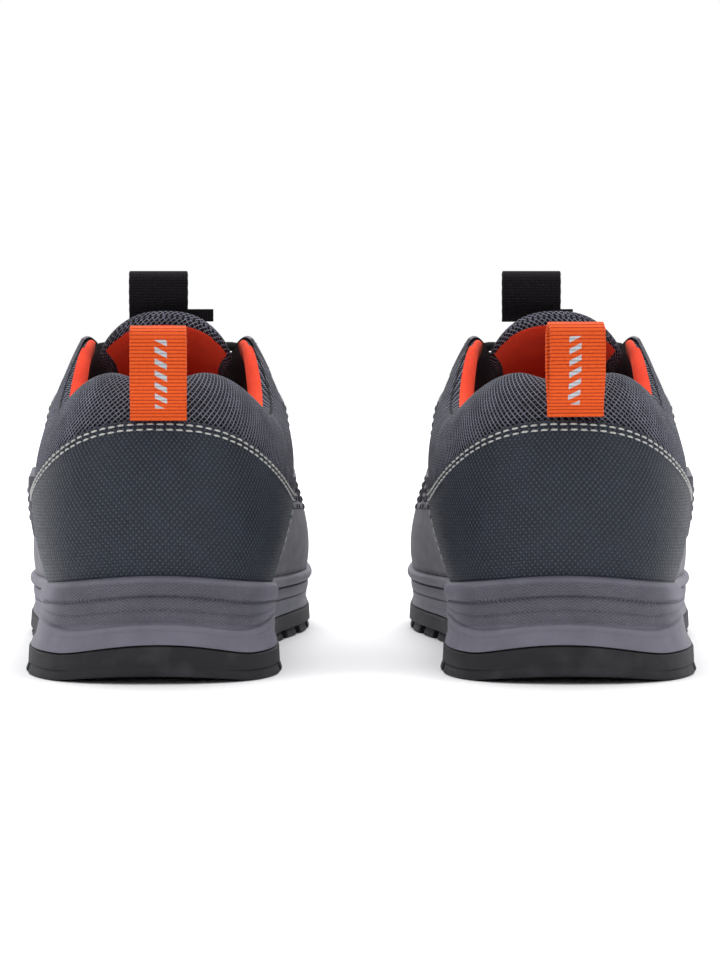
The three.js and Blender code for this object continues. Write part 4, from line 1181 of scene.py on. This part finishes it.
def strap(mesh, line, width, thick, place, ribs=0.0, pitch=1.12, step=0.28):
    """Webbing along a line in its own (x, y) plane, width along z; place() takes it to the shoe."""
    p, s = curve_through(line, step)
    d = unit(np.gradient(p, axis=0))
    n = np.stack([-d[:, 1], d[:, 0]], -1)
    half, r = width / 2, thick / 2
    side = [(half - 0.35 + 0.35 * math.cos(a), r * math.sin(a)) for a in np.linspace(-math.pi / 2, math.pi / 2, 7)]
    flat = np.linspace(1, -1, 14)[1:-1]
    upper = side + [(x * (half - 0.35), r) for x in flat]
    ring = upper + [(-x, -y) for x, y in upper]
    ring = np.array(ring + ring[:1])
    swell = 1 + ribs * (np.abs(np.sin(math.pi * s / pitch)) - 0.6)
    body = (p[:, None, :] + n[:, None, :] * (ring[None, :, 1:2] * swell[:, None, None]))
    z = ring[None, :, 0] * (1 + 0.004 * np.sin(s[:, None] * 1.9)) + np.zeros((len(s), 1))
    q = np.concatenate([body, z[..., None]], -1)
    uv = np.stack([np.broadcast_to(ring[None, :, 0], z.shape), np.broadcast_to(s[:, None], z.shape)], -1)
    caps = [np.broadcast_to(q[i].mean(0), q[i].shape)[None] for i in (0, -1)]
    q = np.concatenate([caps[0], q, caps[1]])
    uv = np.concatenate([uv[:1], uv, uv[-1:]])
    mesh.grid(place(q), uv, closed_v=True, flip=True)


def folded_line(loop, steps=8):
    half = loop["room"] / 2 + loop["strand"] / 2
    foot = loop["strand"] / 2 + 0.15
    height = loop["height"]
    line = [(-foot, 0), (-foot, height * 0.12), (-half, height * 0.45)]
    for i in range(steps + 1):
        a = math.pi - math.pi * i / steps
        line.append((half * math.cos(a), height - half - loop["strand"] / 2 + half * math.sin(a)))
    return line + [(half, height * 0.45), (foot, height * 0.12), (foot, 0)]


def standing(at, twist=0.0):
    """Takes a strap's plane to the shoe: its x to +y, its y up, its width across."""
    a = math.radians(twist)

    def place(q):
        x, y, z = q[..., 2], q[..., 0], q[..., 1]
        return np.stack([x * math.cos(a) - y * math.sin(a), x * math.sin(a) + y * math.cos(a), z], -1) + at
    return place


def heel_loop(shoe):
    foot = offset(0, counter_top(0) + 0.012, PANEL[1] + 0.3 + HEEL_LOOP["strand"])
    foot = foot + (shoe["loop_shift"], 0, -shoe["loop_drop"])
    mesh = Mesh()
    strap(mesh, folded_line(HEEL_LOOP), HEEL_LOOP["width"], HEEL_LOOP["strand"], standing(foot, shoe["twist"]),
          ribs=0.22)
    mesh.make("heel_webbing", shoe, [ORANGE], body="heel_loop", slot="orange_webbing", replaces=["heel_pull_loop"])


def tongue_loop(shoe):
    loop = TONGUE_LOOP
    foot = on_tongue(np.array(0.845), np.array(0.0), -loop["strand"] - 0.6) + (shoe["tongue_shift"], 0, 0)
    mesh = Mesh()
    place = standing(foot)
    strap(mesh, folded_line(loop), loop["width"], loop["strand"], place, ribs=0.1, pitch=0.9)
    reach = loop["width"] / 2 + shoe["tail_reach"]

    def tail(q):
        return place(np.stack([q[..., 1], q[..., 2] + 2.15, q[..., 0] * shoe["tail"]], -1))
    line = [(loop["width"] / 2 - 1, 0.8), (loop["width"] / 2 + 2, 0.8), (reach - 1.6, 0.85), (reach, 0.8)]
    strap(mesh, line, 4.2, loop["strand"], tail, ribs=0.1, pitch=0.9)
    mesh.make("tongue_webbing", shoe, [WEB], body="tongue_loop", slot="black_webbing", replaces=["tongue_pull_loop"])


def loop_frame(u):
    origin = offset(u, 0.93, 2.0)
    out = normal_at(np.array(u), np.array(0.93))
    to_throat = unit(surface(u, 1) - surface(u, 0.9))
    along = unit(np.cross(to_throat, out))
    y = np.cross(along, to_throat)
    return lambda q: origin + q[..., 0:1] * to_throat + q[..., 1:2] * y + q[..., 2:3] * along


def lace_loops(shoe):
    half = (LOOP_ROOM + WEBBING) / 2
    rise = half + WEBBING / 2
    line = [(-7, rise - half), (-3.5, rise - half), (-0.5, rise - half)]
    line += [(half * math.cos(a), rise + half * math.sin(a)) for a in np.linspace(-math.pi / 2, math.pi / 2, 7)[1:-1]]
    line += [(-0.5, rise + half), (-4, rise + half * 0.75), (-7.2, rise - half + WEBBING + 0.3)]
    for side, which in ((1, "inner"), (-1, "outer")):
        for i, u in enumerate(LOOP_ROWS):
            mesh = Mesh()
            strap(mesh, line, LOOP_WIDTH, WEBBING, loop_frame(side * u), ribs=0.12, pitch=0.8)
            mesh.make(f"{which}_loop_{i + 1}", shoe, [WEB], slot="black_webbing",
                      replaces=[f"lace_loop_{which}_{i + 1}"])


# ---------- the tongue ----------
def tongue_row(a):
    rows = np.array(TONGUE, float)
    x = np.clip(a, 0, 1) * (len(rows) - 1)
    k = np.minimum(len(rows) - 2, np.floor(x).astype(int))
    t = (x - k)[..., None]
    p0, p1, p2, p3 = [rows[np.clip(k + i, 0, len(rows) - 1)] for i in (-1, 0, 1, 2)]
    return 0.5 * (2 * p1 + (p2 - p0) * t + (2 * p0 - 5 * p1 + 4 * p2 - p3) * t * t
                  + (3 * p1 - p0 - 3 * p2 + p3) * t ** 3)


def on_tongue(a, b, deep):
    row, before, after = tongue_row(a), tongue_row(a - 0.03), tongue_row(a + 0.03)
    y, z, half, drop = np.moveaxis(row, -1, 0)
    dy, dz = after[..., 0] - before[..., 0], after[..., 1] - before[..., 1]
    length = np.hypot(dy, dz)
    sink = deep + drop * np.abs(b) ** 2.5
    return np.stack([b * half, y - dz / length * sink, z + dy / length * sink], -1)


def tongue_depth(a, b):
    return TONGUE_THICKNESS * lerp(0.45, 1, smooth(0.05, 0.5, a)) * (1 - 0.55 * np.abs(b) ** 3)


def tongue(shoe):
    """One padded mesh: knit outside and round the rim, lining inside, sewn channels across."""
    n = 64
    rows = 120
    w = 2 * math.pi * np.arange(n) / n
    b = np.sign(np.cos(w)) * np.abs(np.cos(w)) ** 0.8
    d = 0.5 - np.sign(np.sin(w)) * np.abs(np.sin(w)) ** 0.55 / 2
    t = np.concatenate([np.linspace(0, 0.95, rows - 12, endpoint=False),
                        0.95 + 0.05 * np.sin(np.linspace(0, math.pi / 2, 13))])
    end = 1 - 0.13 * np.abs(b) ** 3 - 0.05 * np.abs(b) ** 12
    a = t[:, None] * end[None, :]
    b, d = np.broadcast_to(b, a.shape), np.broadcast_to(d, a.shape)
    round_top = np.sqrt(np.clip(1 - (1 - np.clip((1 - t) / 0.05, 0, 1)) ** 2, 0, 1))[:, None]
    channel = sum(np.exp(-((a - at) / 0.012) ** 2) for at in (0.3, 0.45, 0.6)) * (d < 0.5)
    thick = tongue_depth(a, b) + 0.6 * smooth(0.75, 0.9, a)
    deep = 0.5 * thick + (d - 0.5) * thick * np.maximum(round_top, 0.02) + 0.9 * channel
    p = on_tongue(a, b * 0.985, deep)
    p = np.concatenate([p, p[:, :1]], 1)
    s = lengths_across(p)
    t_mm = lengths(p[:, n // 4])
    uv = np.stack([s, np.broadcast_to(t_mm[:, None], s.shape)], -1)
    rim = 0.86 - 0.12 * smooth(0.85, 0.95, a)
    inside = (d > 0.62) & (np.abs(b) < rim) & (a < end - 0.03)
    mesh = Mesh()
    mesh.grid(p, uv, closed_v=True, mat=inside[:-1].astype(int))
    for last, flip in ((0, False), (-1, True)):
        half = np.stack([p[last, :n // 2 + 1], p[last, n // 2:][::-1]], 0)
        mesh.grid(half, np.stack([uv[last, :n // 2 + 1], uv[last, n // 2:][::-1]], 0), flip=flip)
    side = shoe["side"]
    obj = mesh.make("padded_tongue", shoe, [KNIT, LINING], slot="mesh",
                    replaces=["tongue_lower", "tongue_upper"], merge=0.001, ride=False)
    fixed = (np.abs(b) > 0.97) | (channel > 0.5)
    fixed[:3] = fixed[-8:] = True
    held = set(np.flatnonzero(fixed.ravel()).tolist())
    inflate(obj, held, pressure=2.0, cap=0.8)
    joint = next(j for j in frame["joints"] if j["name"] == f"{side}_tongue_fold")
    fold = np.array(joint["pos_m"])
    along = onto_shoe(shoe, on_tongue(np.array(0.81), np.array(0.0), 0.0)) - onto_shoe(
        shoe, on_tongue(np.array(0.72), np.array(0.0), 0.0))
    along /= np.linalg.norm(along)
    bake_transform(obj)


# ---------- the lace ----------
def cord_mesh(mesh, line, radius, step=0.5, sides=12, taper=False):
    p, s = curve_through(line, step)
    d = unit(np.gradient(p, axis=0))
    up = np.cross(d[0], (0.3, 0.2, 1.0))
    frame_n = []
    for t in d:
        up = up - t * np.dot(up, t)
        up = up / np.linalg.norm(up)
        frame_n.append(up.copy())
    n = np.array(frame_n)
    b = np.cross(d, n)
    angle = np.linspace(0, 2 * math.pi, sides + 1)
    r = np.full(len(s), radius)
    if taper:
        r = r * np.minimum(1, np.minimum(s, s[-1] - s) / radius + 0.2)
    braid = 1 + 0.035 * np.sin(angle[None, :] * 4 + s[:, None] * 4.2) * np.sin(angle[None, :] * 4 - s[:, None] * 4.2)
    ring = p[:, None] + (n[:, None] * np.cos(angle)[None, :, None]
                         + b[:, None] * np.sin(angle)[None, :, None]) * (r[:, None] * braid)[..., None]
    uv = np.stack([np.broadcast_to(angle[None] * radius, braid.shape), np.broadcast_to(s[:, None], braid.shape)], -1)
    ring = np.concatenate([np.broadcast_to(p[0], ring[:1].shape), ring, np.broadcast_to(p[-1], ring[:1].shape)])
    uv = np.concatenate([uv[:1], uv, uv[-1:]])
    mesh.grid(ring, uv, closed_v=True)
    return p, s


def tongue_spot(y, above):
    a = np.linspace(0, 1, 2001)
    i = int(np.argmax(tongue_row(a)[:, 0] <= y))
    return on_tongue(a[i], np.array(0.0), -above)


def over_edge(u):
    return offset(u, 1, PANEL[1] + LACE_DIAMETER / 2 + 0.9)


def lace_half(start):
    reach = LOOP_WIDTH / 2 + 1.5
    side = start
    points = []
    rows = LOOP_ROWS[::-1]
    for i, u in enumerate(rows):
        at = loop_frame(side * u)
        rise = LOOP_ROOM / 2 + WEBBING
        ends = [at(np.array([-0.2, rise, x])) for x in (reach, -reach)]
        points += sorted(ends, key=lambda q: -q[1])
        if i == len(rows) - 1:
            break
        above = LACE_DIAMETER / 2 + 0.6 + (LACE_DIAMETER + 0.3 if start > 0 else 0)
        following = rows[i + 1]
        points.append(over_edge(side * lerp(u, following, 0.4)))
        points.append(tongue_spot((surface(u, 1)[1] + surface(following, 1)[1]) / 2, above))
        side = -side
        points.append(over_edge(side * lerp(u, following, 0.6)))
    return points


KNOT = dict(ahead=2, above=6.2)
BOW_HEIGHT = LOOP_ROOM + 2 * WEBBING + 0.5 + 1.2 + LACE_DIAMETER / 2 + 0.9
LACE_END = dict(length=36, spread=6.5, above=11.5)


def lace(shoe):
    mesh = Mesh()
    radius = LACE_DIAMETER / 2
    centre = tongue_spot(surface(LOOP_ROWS[0], 1)[1] + KNOT["ahead"], KNOT["above"])
    front = LOOP_ROWS[-1] + 0.55
    bar = [over_edge(front), tongue_spot(surface(front, 1)[1], LACE_DIAMETER + 1.2), over_edge(-front)]
    halves = [lace_half(1), lace_half(-1)]
    for half in halves:
        half += [over_edge(math.copysign(LOOP_ROWS[0] + 0.25, half[-1][0])), centre]
    cord_mesh(mesh, halves[0][::-1] + bar + halves[1], radius)
    tilt = 0.6
    for k, (rx, rz, turn_) in enumerate(((4.2, 2.2, 0.5), (3.4, 2.6, -0.6), (3.0, 1.9, 1.6))):
        ring = []
        for a in np.linspace(0, 2 * math.pi, 13):
            x, z = rx * math.cos(a), rz * math.sin(a)
            x, y = x * math.cos(turn_), x * math.sin(turn_) * 0.8
            ring.append(centre + (x, y * math.cos(tilt) + z * math.sin(tilt) * 0.6,
                                  z * math.cos(tilt) - y * math.sin(tilt)))
        cord_mesh(mesh, ring, radius * 0.95)
    for side in (1, -1):
        def at(u, v):
            return offset(side * u, v, BOW_HEIGHT)
        u = LOOP_ROWS[0]
        inside = tongue_spot(surface(u + 1, 1)[1], BOW_HEIGHT) + (side * 11, 0, 0)
        bow = [centre, at(u + 0.45, 1), at(u + 0.85, 0.92), at(u + 1.35, 0.9), at(u + 1.6, 0.97), inside, centre]
        cord_mesh(mesh, bow, radius)
    mesh.make("lacing", shoe, [BRAID], slot="lace", replaces=["lace"])
    for side, which in ((1, "inner"), (-1, "outer")):
        points = [centre]
        for t in (0.3, 0.65, 1):
            points.append(tongue_spot(centre[1] + LACE_END["length"] * t, LACE_END["above"])
                          + (side * LACE_END["spread"] * math.sqrt(t), 0, 0))
        end, tip = Mesh(), Mesh()
        line, s = cord_mesh(end, points, radius)
        obj = end.make(f"{which}_lace_end", shoe, [BRAID], slot="lace")
        k = int(len(line) * 0.72)
        cord_mesh(tip, line[k::6].tolist() + [line[-1]], radius * 1.12, taper=True)
        cap = tip.make(f"{which}_aglet", shoe, [AGLET])
        path = onto_shoe(shoe, line)
        tuple(path[0])


def finish_cad(shoe):
    for node in ("insole_board", "heel_stiffener", "toe_stiffener"):
        obj = frame["nodes"][f"{shoe['side']}_{node}"]
        obj.data.materials.clear()
        obj.data.materials.append(BOARD)


for shoe in SHOES:
    midsole(shoe)
    outsole(shoe)
    insole(shoe)
    vamp(shoe)
    collar(shoe)
    heel_counter(shoe)
    lining(shoe)
    for side in (1, -1):
        side_overlay(shoe, side)
    toe_cap(shoe)
    eyestay(shoe)
    tongue(shoe)
    tongue_loop(shoe)
    heel_loop(shoe)
    lace_loops(shoe)
    lace(shoe)
    finish_cad(shoe)
